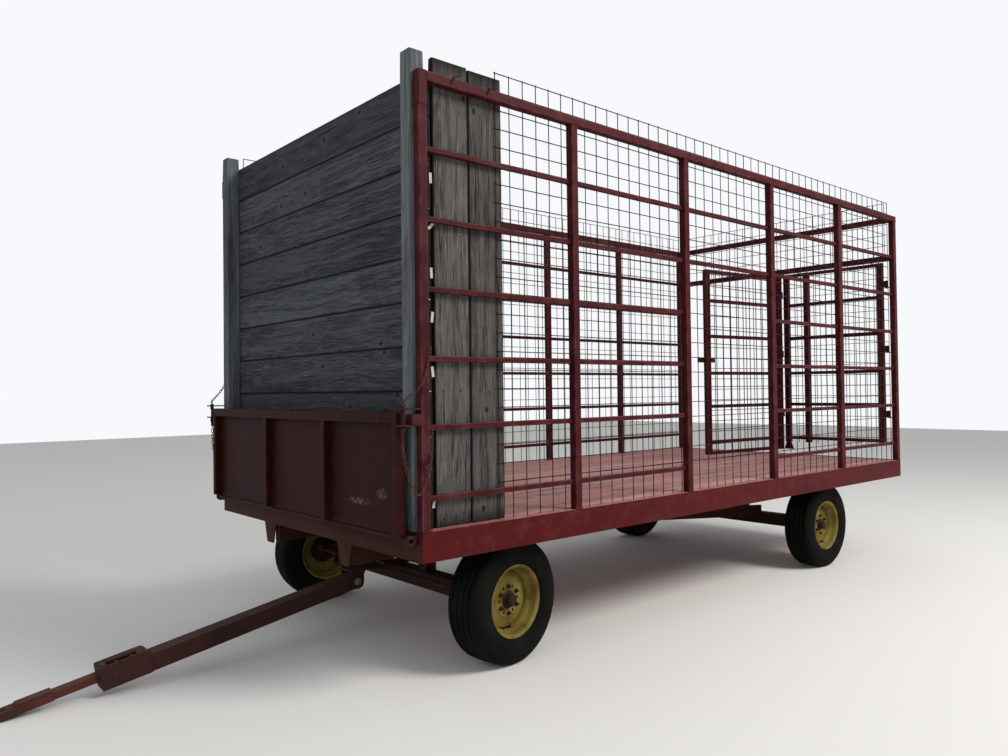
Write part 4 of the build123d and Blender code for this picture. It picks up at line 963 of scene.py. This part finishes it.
# Gate hinge ends: an eye on the rod at both sides, with the hole that shows in its end
eyeLook = {
    "x": 1.973, "z": 0.811, "y": 1.2160, "outer": 0.0280, "hole": 0.0135, "out": 0.0065, "floor": -0.012,
    "back": -0.024, "axis": 0.0001, "steps": 28,
}
outer, hole, out, back = (eyeLook[key] for key in ("outer", "hole", "out", "back"))
outline = [
    (eyeLook["axis"], eyeLook["floor"]), (hole, eyeLook["floor"]), (hole, out - 0.001), (hole + 0.001, out),
    (outer - 0.004, out), (outer - 0.001, out - 0.0015), (outer, out - 0.004), (outer, back),
    (eyeLook["axis"], back),
]
eyes = []
for sign in (1, -1):
    centre = (eyeLook["x"], sign * eyeLook["y"], eyeLook["z"])
    eyes.append(turned("eye", outline, eyeLook["steps"], centre, (0, sign, 0)))
addPiece("hinge_eyes", joined("hinge_eyes", eyes), "gear", "wagon")

# Spikes bent over the top rail, from the side planks
spikeLook = {
    "radius": 0.0042, "taper": (1.0, 0.95, 0.55),
    "runs": (
        ((1.700, 1.188, 3.176), (1.697, 1.216, 3.1655), (1.700, 1.246, 3.1650), (1.708, 1.2610, 3.158),
         (1.716, 1.2615, 3.142), (1.724, 1.2600, 3.128)),
        ((1.459, 1.188, 3.174), (1.456, 1.216, 3.1650), (1.460, 1.246, 3.1645), (1.470, 1.2610, 3.156),
         (1.478, 1.2615, 3.140), (1.486, 1.2600, 3.126)),
    ),
    "tails": (
        ((1.7080, 1.2570, 3.1600), (1.688, 1.2590, 3.168), (1.656, 1.2560, 3.183)),
        ((1.4700, 1.2570, 3.1580), (1.446, 1.2590, 3.164), (1.404, 1.2560, 3.177)),
    ),
}
spikes = [rodMesh("spike", run, spikeLook["radius"]) for run in spikeLook["runs"]]
spikes += [rodMesh("tail", run, spikeLook["radius"], spikeLook["taper"]) for run in spikeLook["tails"]]
addPiece("plank_spikes", joined("plank_spikes", spikes), "darkSteel", "wagon")

# Sleeve at the top of each front corner post
sleeveLook = {
    "x": 1.9026, "y": 1.2296, "half": 0.0284, "wall": 0.004, "corner": 0.005, "low": 2.979, "high": 3.1040,
}


def sleeveMesh(name, x, y, look):
    wide = look["half"] * 2
    ring = cornered(wide, wide, look["corner"], 1)
    clear = wide - 2 * look["wall"]
    inner = cornered(clear, clear, look["corner"] * 0.4, 1)
    low, high = look["low"], look["high"]
    points, faces = [], []
    for shape, z in ((ring, low + 0.002), (ring, high), (inner, high + 0.001), (inner, low)):
        points += [(x + a, y + b, z) for a, b in shape]
    count = len(ring)
    for level in range(4):
        for j in range(count):
            k = (j + 1) % count
            a, b = level * count, (level + 1) % 4 * count
            faces.append((a + j, a + k, b + k, b + j))
    return facedOut(meshFrom(name, points, faces, False))


sleeves = [sleeveMesh("sleeve", sleeveLook["x"], sign * sleeveLook["y"], sleeveLook) for sign in (1, -1)]
addPiece("post_sleeves", joined("post_sleeves", sleeves), "red", "wagon")

# Pale patches at the board ends at the left corner: painted daylight seen through the gaps there
gapDaylightLook = {
    "y": 1.2014, "size": (0.016, 0.0008, 0.054), "soft": 0.0003,
    "spots": (
        (1.8220, 2.634, 0.02), (1.8200, 2.392, -0.75), (1.8225, 2.150, 0.04), (1.8200, 1.925, -0.10),
        (1.8205, 1.648, 0.12), (1.8200, 0.985, -0.16),
    ),
}
daylightPatches = bmesh.new()
for x, z, lean in gapDaylightLook["spots"]:
    turn = Matrix.Translation((x, gapDaylightLook["y"], z)) @ Matrix.Rotation(lean, 4, "Y")
    bmesh.ops.create_cube(daylightPatches, size=1.0, matrix=turn @ Matrix.Diagonal((*gapDaylightLook["size"], 1.0)))
bmesh.ops.bevel(daylightPatches, geom=list(daylightPatches.edges), offset=gapDaylightLook["soft"], segments=1, affect="EDGES")
addPiece("board_tags", meshOf("board_tags", daylightPatches), "tag", "wagon")
print("hay wagon: latches, hinge eyes, spikes and tags made")


# Square tube of the cage: rounded corners, open ends and a slight waver, worn along its corners
tubeLook = {
    "cage": {"corner": 0.0055, "wall": 0.0040, "waver": 0.0006, "step": 0.30, "depth": 0.040},
    "thin": {"corner": 0.0035, "wall": 0.0026, "waver": 0.0010, "step": 0.22, "depth": 0.010},
}
wearBand, sharpAngle = 0.005, 0.8        # beside a tube's corner, and where its shading breaks


def tubeRing(width, height, corner):
    spots = []
    for sx, sy, start in ((1, 1, 0.0), (-1, 1, 0.5), (-1, -1, 1.0), (1, -1, 1.5)):
        middle = Vector((sx * (width / 2 - corner), sy * (height / 2 - corner)))
        angles = [math.pi * (start + k / 6) for k in range(4)]
        arc = [middle + Vector((math.cos(a), math.sin(a))) * corner for a in angles]
        before = arc[0] + Vector((-math.sin(angles[0]), math.cos(angles[0]))) * -wearBand
        after = arc[-1] + Vector((-math.sin(angles[-1]), math.cos(angles[-1]))) * wearBand
        spots += [(before, 0.0)] + [(spot, 1.0) for spot in arc] + [(after, 0.0)]
    return spots


def tubeShading(shape):
    for face in shape.faces:
        face.smooth = len(face.verts) == 4
    for edge in shape.edges:
        if len(edge.link_faces) == 2 and edge.calc_face_angle(0.0) > sharpAngle:
            edge.smooth = False


def tubeMesh(name, boxes, look, seed):
    draw = random.Random(seed)
    points, faces, edges = [], [], []
    for low, high in boxes:
        size = high - low
        along = max(range(3), key=lambda k: size[k])
        first, second = [k for k in range(3) if k != along]
        middle = (low + high) / 2
        outer = tubeRing(size[first], size[second], look["corner"])
        thin = 2 * look["wall"]
        inner = tubeRing(size[first] - thin, size[second] - thin, look["corner"] * 0.6)
        steps = max(1, round(size[along] / look["step"]))
        rows = [(low[along] + look["depth"], inner), (low[along], inner)]
        rows += [(low[along] + size[along] * k / steps, outer) for k in range(steps + 1)]
        rows += [(high[along], inner), (high[along] - look["depth"], inner)]
        phase = draw.uniform(0, phaseSpan)
        start = len(points)
        count = len(outer)
        for place, ring in rows:
            t = (place - low[along]) / size[along]
            sway = look["waver"] * math.sin(math.pi * t) * math.sin(9 * t + phase)
            for spot, worn in ring:
                where = middle.copy()
                where[along] = place
                where[first] += spot.x + sway
                where[second] += spot.y + sway * 0.5
                points.append(where)
                edges.append(worn)
        for i in range(len(rows) - 1):
            for j in range(count):
                a, b = start + i * count + j, start + i * count + (j + 1) % count
                faces.append((a, b, b + count, a + count))
        last = start + (len(rows) - 1) * count
        faces.append(tuple(start + j for j in reversed(range(count))))
        faces.append(tuple(last + j for j in range(count)))
    mesh = meshFrom(name, points, faces, False)
    store(mesh, "edge", edges)
    return facedOut(mesh, tubeShading)


tubeNodes = {
    "posts_left": ("wagon", "cage"), "posts_right": ("wagon", "cage"), "top_rails": ("wagon", "cage"),
    "rear_frame": ("wagon", "cage"), "thin_rails_left": ("wagon", "thin"),
    "thin_rails_right": ("wagon", "thin"), "rear_gate_rails": ("rear_gate", "thin"),
}
firstTubeSeed = 40
for seed, (node, (body, kind)) in enumerate(tubeNodes.items(), firstTubeSeed):
    mesh = tubeMesh(node + "_tube", solidBoxes(node), tubeLook[kind], seed)
    addPiece(node + "_tube", mesh, "red", body, [node])
print("hay wagon: cage tubes made")

# Weld beads where rails meet posts, posts meet the channel and the top rail
weldLook = {"topRail": 3.12, "lift": 0.001, "run": 0.050}
lift = weldLook["lift"]
beads = []
for side, sign in (("left", 1), ("right", -1)):
    for low, high in solidBoxes("thin_rails_" + side):
        out, back = (high.y, low.y) if sign > 0 else (low.y, high.y)
        for x in (low.x, high.x):
            beads.append([(x, out, low.z), (x, out, high.z), (x, back, high.z)])
            beads.append([(x, back, low.z), (x, out, low.z)])
    for low, high in solidBoxes("posts_" + side):
        out = high.y if sign > 0 else low.y
        beads.append([(low.x, out, low.z + lift), (high.x, out, low.z + lift)])
        if high.z < weldLook["topRail"]:
            beads.append([(low.x, out, high.z - lift), (high.x, out, high.z - lift)])
            for x in (low.x, high.x):
                beads.append([(x, out, high.z - lift), (x, out - sign * weldLook["run"], high.z - lift)])
addPiece("cage_welds", beadTree.run("cage_welds", lineBase("beads", beads)), "red", "wagon")

# Scars on the gate's top bar and on its plate, and the welds of its ribs
scarLook = {
    "front": 2.0357, "low": 1.396, "high": 1.438, "lean": 0.002, "radius": 0.0016,
    "spots": (-0.99, 0.02, 0.12, 0.62, 0.74, 1.02),
    "onPlate": ((1.9957, -0.845, 0.800), (1.9957, -0.845, 0.824)),
}
front, lean = scarLook["front"], scarLook["lean"]
scars = [[(front, y, scarLook["low"]), (front, y + lean, scarLook["high"])] for y in scarLook["spots"]]
scars.append(scarLook["onPlate"])
made = beadTree.run("gate_weld_scars", lineBase("scars", scars), {"Radius": scarLook["radius"]})
addPiece("gate_weld_scars", made, "scar", "front_gate")
ribWeldLook = {
    "ribs": (-1.1660, -0.3220, 0.4340, 1.1660), "half": 0.019, "plate": 1.9905, "bar": 2.0345, "top": 1.3925,
    "from": (0.860, 1.010, 1.170, 1.330), "long": 0.045,
}
half, plate, bar, top = (ribWeldLook[key] for key in ("half", "plate", "bar", "top"))
ribWelds = []
for y in ribWeldLook["ribs"]:
    for side in (-half, half):
        for z in ribWeldLook["from"]:
            ribWelds.append([(plate, y + side, z), (plate, y + side, z + ribWeldLook["long"])])
    ribWelds.append([(bar, y - half, top), (bar, y + half, top)])
made = beadTree.run("gate_welds", lineBase("ribs", ribWelds))
addPiece("gate_welds", made, "gate", "front_gate")
print("hay wagon: welds made")


# Gate: rounded ribs that stop on the hinge tube, and plates over the open ends of the top bar
ribLook = {"corner": 0.0030, "wall": 0.0030, "waver": 0.0004, "step": 0.30, "depth": 0.004, "foot": 0.8330}
ribSeed = 71
ribs = solidBoxes("gate_uprights")
for low, high in ribs:
    low.z = ribLook["foot"]
mesh = tubeMesh("gate_ribs", ribs, ribLook, ribSeed)
addPiece("gate_ribs", mesh, "gate", "front_gate", ["gate_uprights"])


def blockMesh(name, boxes, soft):
    shape = bmesh.new()
    for low, high in boxes:
        low, high = Vector(low), Vector(high)
        place = Matrix.Translation((low + high) / 2) @ Matrix.Diagonal((*(high - low), 1.0))
        bmesh.ops.create_cube(shape, size=1.0, matrix=place)
    bmesh.ops.bevel(shape, geom=list(shape.edges), offset=soft, segments=2, profile=0.6, affect="EDGES")
    return meshOf(name, shape)


capLook = {"x": (1.9860, 2.0330), "z": (1.3940, 1.4430), "y": 1.1840, "thick": 0.0030, "soft": 0.0008}
(capX, capFar), (capLow, capTop) = capLook["x"], capLook["z"]
caps = []
for sign in (1, -1):
    near, far = sorted((sign * capLook["y"], sign * (capLook["y"] + capLook["thick"])))
    caps.append(((capX, near, capLow), (capFar, far, capTop)))
mesh = blockMesh("gate_bar_caps", caps, capLook["soft"])
addPiece("gate_bar_caps", mesh, "gate", "front_gate")

# Nails: two where each deck plank crosses a member, and rows up the boards and side planks
nailLook = {
    "deckAcross": 0.060, "deckSize": 0.0052, "boardSize": 0.0048, "boardEdge": 0.055, "boardEnd": 1.158,
    "plankSize": 0.0050, "plankEdge": 0.060, "scatter": 0.012, "seed": 17,
    "plankHeights": (0.905, 1.010, 1.560, 2.055, 2.360, 2.760, 3.090),
}
draw = random.Random(nailLook["seed"])


def scatter():
    return draw.uniform(-nailLook["scatter"], nailLook["scatter"])


nails = []
members = [(low.x + high.x) / 2 for low, high in solidBoxes("cross_members")]
for low, high in solidBoxes("deck"):
    for x in members:
        for side in (-1, 1):
            y = (low.y + high.y) / 2 + side * nailLook["deckAcross"] + scatter() * 0.5
            nails.append(((x + scatter(), y, high.z), (0, 0, 1), nailLook["deckSize"]))
for low, high in solidBoxes("front_boards"):
    for z in (low.z + nailLook["boardEdge"], high.z - nailLook["boardEdge"]):
        for sign in (1, -1):
            place = (low.x, sign * nailLook["boardEnd"] + scatter(), z + scatter())
            nails.append((place, (-1, 0, 0), nailLook["boardSize"]))
for low, high in solidBoxes("side_planks"):
    for z in nailLook["plankHeights"]:
        for x in (low.x + nailLook["plankEdge"], high.x - nailLook["plankEdge"]):
            nails.append(((x + scatter(), high.y, z + scatter()), (0, 1, 0), nailLook["plankSize"]))
            nails.append(((x + scatter(), low.y, z + scatter()), (0, -1, 0), nailLook["plankSize"]))
made = nailTree.run("board_nails", boltBase("nailSeats", nails))
addPiece("board_nails", made, "bareRust", "wagon")

# Bolts and nuts of the running gear, one mesh for each body: (place, facing, size)
toFront, toRear, toTop, toGround = (1, 0, 0), (-1, 0, 0), (0, 0, 1), (0, 0, -1)
boltLook = {
    "bolster": {"away": 0.050, "z": 0.602, "y": (-0.52, -0.44, 0.44, 0.52), "size": 0.0115},
    "tail": {"x": -3.558, "y": 1.225, "z": (0.745, 0.807), "size": 0.0110},
    "kingpin": {"y": 0.780, "z": (0.434, 0.278), "size": 0.0200},
    "armStud": {"x": 1.388, "y": 0.805, "z": 0.434, "size": 0.0105},
    "plateStud": {"y": 0.025, "z": 0.430, "size": 0.0105},
    "pitchPin": {"x": 1.598, "y": 0.066, "z": 0.3539, "size": 0.0165},
}
bolster, tail, kingpin, armStud, plateStud, pitchPin = boltLook.values()
bolts = {"wagon": [], "knuckle_left": [], "knuckle_right": [], "steering_plate": []}
for facing in (toFront, toRear):
    for x in (axleX, rearX):
        for y in bolster["y"]:
            place = (x + facing[0] * bolster["away"], y, bolster["z"])
            bolts["wagon"].append((place, facing, bolster["size"]))
for side, sign in (("left", 1), ("right", -1)):
    for z in tail["z"]:
        bolts["wagon"].append(((tail["x"], sign * tail["y"], z), toRear, tail["size"]))
    knuckle = bolts["knuckle_" + side]
    for z, facing in zip(kingpin["z"], (toTop, toGround)):
        knuckle.append(((axleX, sign * kingpin["y"], z), facing, kingpin["size"]))
    knuckle.append(((armStud["x"], sign * armStud["y"], armStud["z"]), toTop, armStud["size"]))
for sign in (1, -1):
    place = (armStud["x"], sign * plateStud["y"], plateStud["z"])
    bolts["steering_plate"].append((place, toTop, plateStud["size"]))
for sign in (1, -1):
    place = (pitchPin["x"], sign * pitchPin["y"], pitchPin["z"])
    bolts["steering_plate"].append((place, (0, sign, 0), pitchPin["size"]))
for body, seats in bolts.items():
    made = boltTree.run("bolts_" + body, boltBase("boltSeats", seats), {"Stub": 0.35})
    addPiece("bolts_" + body, made, "zinc" if body == "steering_plate" else "darkSteel", body)

# Long sills: in front of the bolster they are as deep as the front brackets
sillLook = {
    "corner": 0.0050, "wall": 0.0050, "waver": 0.0004, "step": 0.45, "depth": 0.004,
    "frontFrom": 1.3000, "frontFoot": 0.5730, "seed": 83,
}
sills = []
for low, high in solidBoxes("long_sills"):
    sills.append((low, Vector((sillLook["frontFrom"], high.y, high.z))))
    sills.append((Vector((sillLook["frontFrom"], low.y, sillLook["frontFoot"])), high))
mesh = tubeMesh("long_sill_tubes", sills, sillLook, sillLook["seed"])
addPiece("long_sill_tubes", mesh, "sill", "wagon", ["long_sills"])

# Clamps that hold the long sills on the bolsters: a rod up, over and down on each side of the axle
clampLook = {
    "y": 0.482, "span": 0.060, "spread": 0.042, "rod": 0.0065, "low": 0.534, "top": 0.7325,
    "bend": (0.004, 0.012),
}
low, top = clampLook["low"], clampLook["top"]
bendIn, bendUp = clampLook["bend"]
clamps = []
for x in (axleX, rearX):
    for sign in (1, -1):
        near, far = (sign * clampLook["y"] + away for away in (-clampLook["spread"], clampLook["spread"]))
        for side in (-1, 1):
            at = x + side * clampLook["span"]
            run = (
                (at, near, low), (at, near, top), (at, near + bendIn, top + bendUp),
                (at, far - bendIn, top + bendUp), (at, far, top), (at, far, low),
            )
            clamps.append(rodMesh("clamp", run, clampLook["rod"]))
addPiece("sill_clamps", joined("sill_clamps", clamps), "gear", "wagon")

# Tongue: its own frame has x along it from the pitch pin and z up from its axis
tongueLook = {
    "pitch": (1.598, 0.35393), "along": (0.98389, -0.17879), "half": (0.051, 0.046), "seams": (0.974, 0.060),
    "seamRadius": 0.0022,
}
(px, pz), (ax, az), (halfY, halfZ) = (tongueLook[key] for key in ("pitch", "along", "half"))
tongueFrame = Matrix(((ax, 0, -az, px), (0, 1, 0, 0), (az, 0, ax, pz), (0, 0, 0, 1)))
seams = []
for x in tongueLook["seams"]:
    corners = ((-halfY, 0.0), (-halfY, halfZ), (halfY, halfZ), (halfY, -halfZ))
    seams.append([tongueFrame @ Vector((x, y, z)) for y, z in corners])
made = beadTree.run("tongue_seams", lineBase("seams", seams), {"Radius": tongueLook["seamRadius"]})
addPiece("tongue_seams", made, "tongue", "tongue")

# Slide box: lips along its top, a lever on a web, a keeper and a knob
boxLook = {
    "top": 0.0720, "start": 1.2740, "end": 1.5020, "side": 0.0600, "soft": 0.0012, "sunk": 0.001,
    "lip": {"in": 0.0520, "out": 0.0595, "high": 0.0055, "sunk": 0.002},
    "lever": (1.2960, 1.4460, -0.0150, 0.0050, 0.0130),        # x from and to, y from and to, height
    "web": (1.2880, 1.3160, -0.0440, 0.0440, 0.0080),
    "keeper": (1.4680, 1.4920, -0.0400, 0.0400, 0.0080),
    "knob": {"x": 1.4500, "y": 0.0060, "radius": 0.0125, "high": 0.0160, "crown": 0.003, "axis": 0.0003,
             "steps": 16},
    "bolts": ((1.4360, 0.0540), (1.4340, 0.0140)), "bolt": 0.0042,
}
top, start, end, sunk = (boxLook[key] for key in ("top", "start", "end", "sunk"))
lip, knob = boxLook["lip"], boxLook["knob"]
lipLow, lipHigh = top - lip["sunk"], top + lip["high"]
blocks = [
    ((start, -lip["out"], lipLow), (end, -lip["in"], lipHigh)),
    ((start, lip["in"], lipLow), (end, lip["out"], lipHigh)),
]
for key in ("lever", "web", "keeper"):
    x0, x1, y0, y1, high = boxLook[key]
    blocks.append(((x0, y0, top - sunk), (x1, y1, top + high)))
fittings = blockMesh("slide_box_fittings", blocks, boxLook["soft"])
axis, radius, knobLow, knobHigh = knob["axis"], knob["radius"], top - sunk, top + knob["high"]
outline = [
    (axis, knobLow), (radius, knobLow), (radius, knobHigh), (radius * 0.8, knobHigh + knob["crown"]),
    (axis, knobHigh + knob["crown"]),
]
knobMesh = turned("knob", outline, knob["steps"], (knob["x"], knob["y"], 0), upward)
fittings = joined("slide_box_fittings", [fittings, knobMesh])
fittings.transform(tongueFrame)
addPiece("slide_box_fittings", fittings, "slideBar", "tongue")
boltSeats = [
    (tongueFrame @ Vector((x, sign * boxLook["side"], z)), (0, sign, 0), boxLook["bolt"])
    for x, z in boxLook["bolts"] for sign in (1, -1)
]
made = boltTree.run("slide_box_bolts", boltBase("boltSeats", boltSeats), {"Stub": 0.2})
addPiece("slide_box_bolts", made, "scar", "tongue")

# Tube valves: a tapered rubber stem out of the rim, and its cap
valveLook = {
    "angle": 2.90, "radius": 0.0042, "run": ((0.170, -0.004), (0.163, 0.026), (0.150, 0.058), (0.141, 0.078)),
    "taper": (1.5, 1.2, 0.9, 0.8), "fine": 6, "cap": 1.5, "capSpots": (0.2, 0.7, 1.2), "capFine": 4,
}
for corner, (centre, outward) in wheelSpots.items():
    axis = Vector(outward).normalized()
    spoke = upward * math.cos(valveLook["angle"]) + axis.cross(upward) * math.sin(valveLook["angle"])
    run = [Vector(centre) + spoke * radius + axis * along for radius, along in valveLook["run"]]
    stem = rodMesh("stem", run, valveLook["radius"], valveLook["taper"], valveLook["fine"])
    tip = [run[2].lerp(run[3], t) for t in valveLook["capSpots"]]
    tip = rodMesh("tip", tip, valveLook["radius"] * valveLook["cap"], fine=valveLook["capFine"])
    addPiece("valve_" + corner, joined("valve_" + corner, [stem, tip]), "tyre", "wheel_" + corner)
print("hay wagon: gate ribs, nails, bolts and valves made")


# Everything that stays as the CAD made it gets its finish here
nodeFinishes = {
    "channel": ["side_rail_left", "side_rail_right"],
    "sill": ["front_sill", "rear_sill", "cross_members"],
    "gate": ["gate_sheet", "gate_bars", "gate_uprights"],
    "gear": ["front_axle", "rear_axle", "reach_pole", "rear_hounds", "steering_plate", "knuckle_left",
             "knuckle_right", "tie_rod_left", "tie_rod_right"],
    "tongue": ["tongue_beam"],
    "slideBar": ["drawbar"],
    "bareRust": ["latch_chains", "latch_pins"],
}
finishOf = {node: finish for finish, members in nodeFinishes.items() for node in members}
for node, shape in nodes.items():
    key = finishOf.get(node, "red")
    if node.startswith("wheel_"):
        key = "rim"
    elif node.startswith("tyre_"):
        key = "tyre"
    shape.data.materials.clear()
    shape.data.materials.append(finishes[key])


# Studio: pale floor and backdrop, one large key lamp, a weaker fill and an even sky
studio = {
    "floor": 26.0,
    "floorColour": (0.80, 0.79, 0.77),
    "key": {"place": (-3.5, 9.0, 8.5), "size": 5.0, "power": 1080.0, "colour": (1.0, 0.97, 0.92)},
    "fill": {"place": (10.0, 2.5, 5.5), "size": 7.0, "power": 120.0, "colour": (0.92, 0.96, 1.0)},
    "aim": (0.0, 0.0, 1.2),
    "sky": 0.52,
    "skyColour": (0.93, 0.95, 0.97, 1.0),
}


def paleFloor():
    f = Finish("paleFloor")
    shade = f.add("ShaderNodeTexNoise", {}, {"Scale": 3.0, "Detail": 2.0})
    darker = tuple(c * 0.97 for c in studio["floorColour"])
    colour = f.mix(shade.step(0.3, 0.7), studio["floorColour"], darker)
    f.surface.inputs["Roughness"].default_value = 0.9
    return f.finish(colour, None)


half = studio["floor"]
corners = [(-half, -half, 0), (half, -half, 0), (half, half, 0), (-half, half, 0)]
floor = placed("floor", meshFrom("floor", corners, [(0, 1, 2, 3)]))
floor.data.materials.append(paleFloor())


def softLamp(name, look):
    data = bpy.data.lights.new(name, "AREA")
    data.shape = "DISK"
    data.size = look["size"]
    data.energy = look["power"]
    data.color = look["colour"]
    lamp = placed(name, data)
    lamp.location = look["place"]
    lamp.rotation_euler = (Vector(studio["aim"]) - lamp.location).to_track_quat("-Z", "Y").to_euler()


softLamp("key", studio["key"])
softLamp("fill", studio["fill"])

world = bpy.data.worlds.new("studio")
bpy.context.scene.world = world
world.use_nodes = True
sky = Net(world.node_tree)
world.node_tree.nodes.clear()
seen = sky.add("ShaderNodeLightPath", out="Is Camera Ray")
glossy = sky.add("ShaderNodeLightPath", out="Is Glossy Ray")
through = sky.add("ShaderNodeLightPath", out="Is Transmission Ray")
strength = (seen + glossy + through).step(0.0, 1.0) * (1.0 - studio["sky"]) + studio["sky"]
backdrop = sky.add("ShaderNodeBackground", {}, {"Color": studio["skyColour"], "Strength": strength})
outlet = world.node_tree.nodes.new("ShaderNodeOutputWorld")
world.node_tree.links.new(backdrop.socket, outlet.inputs["Surface"])

# Camera at the photograph's angle
view = {
    "place": (4.1794, 4.4702, 1.5474),
    "right": (-0.75531, 0.65526, -0.01190),
    "down": (-0.00151, -0.01990, -0.99980),
    "ahead": (-0.65536, -0.75514, 0.01602),
    "lens": 28.30,
    "film": 36.0,
    "far": 200.0,
}
lens = bpy.data.cameras.new("camera")
lens.lens = view["lens"]
lens.sensor_width = view["film"]
lens.clip_end = view["far"]
camera = placed("camera", lens)
right, down, ahead = (Vector(view[key]) for key in ("right", "down", "ahead"))
turn = Matrix((right, -down, -ahead)).transposed().to_4x4()
camera.matrix_world = Matrix.Translation(view["place"]) @ turn
bpy.context.scene.camera = camera
bpy.context.scene.view_settings.view_transform = "Standard"

print("hay wagon: scene ready")
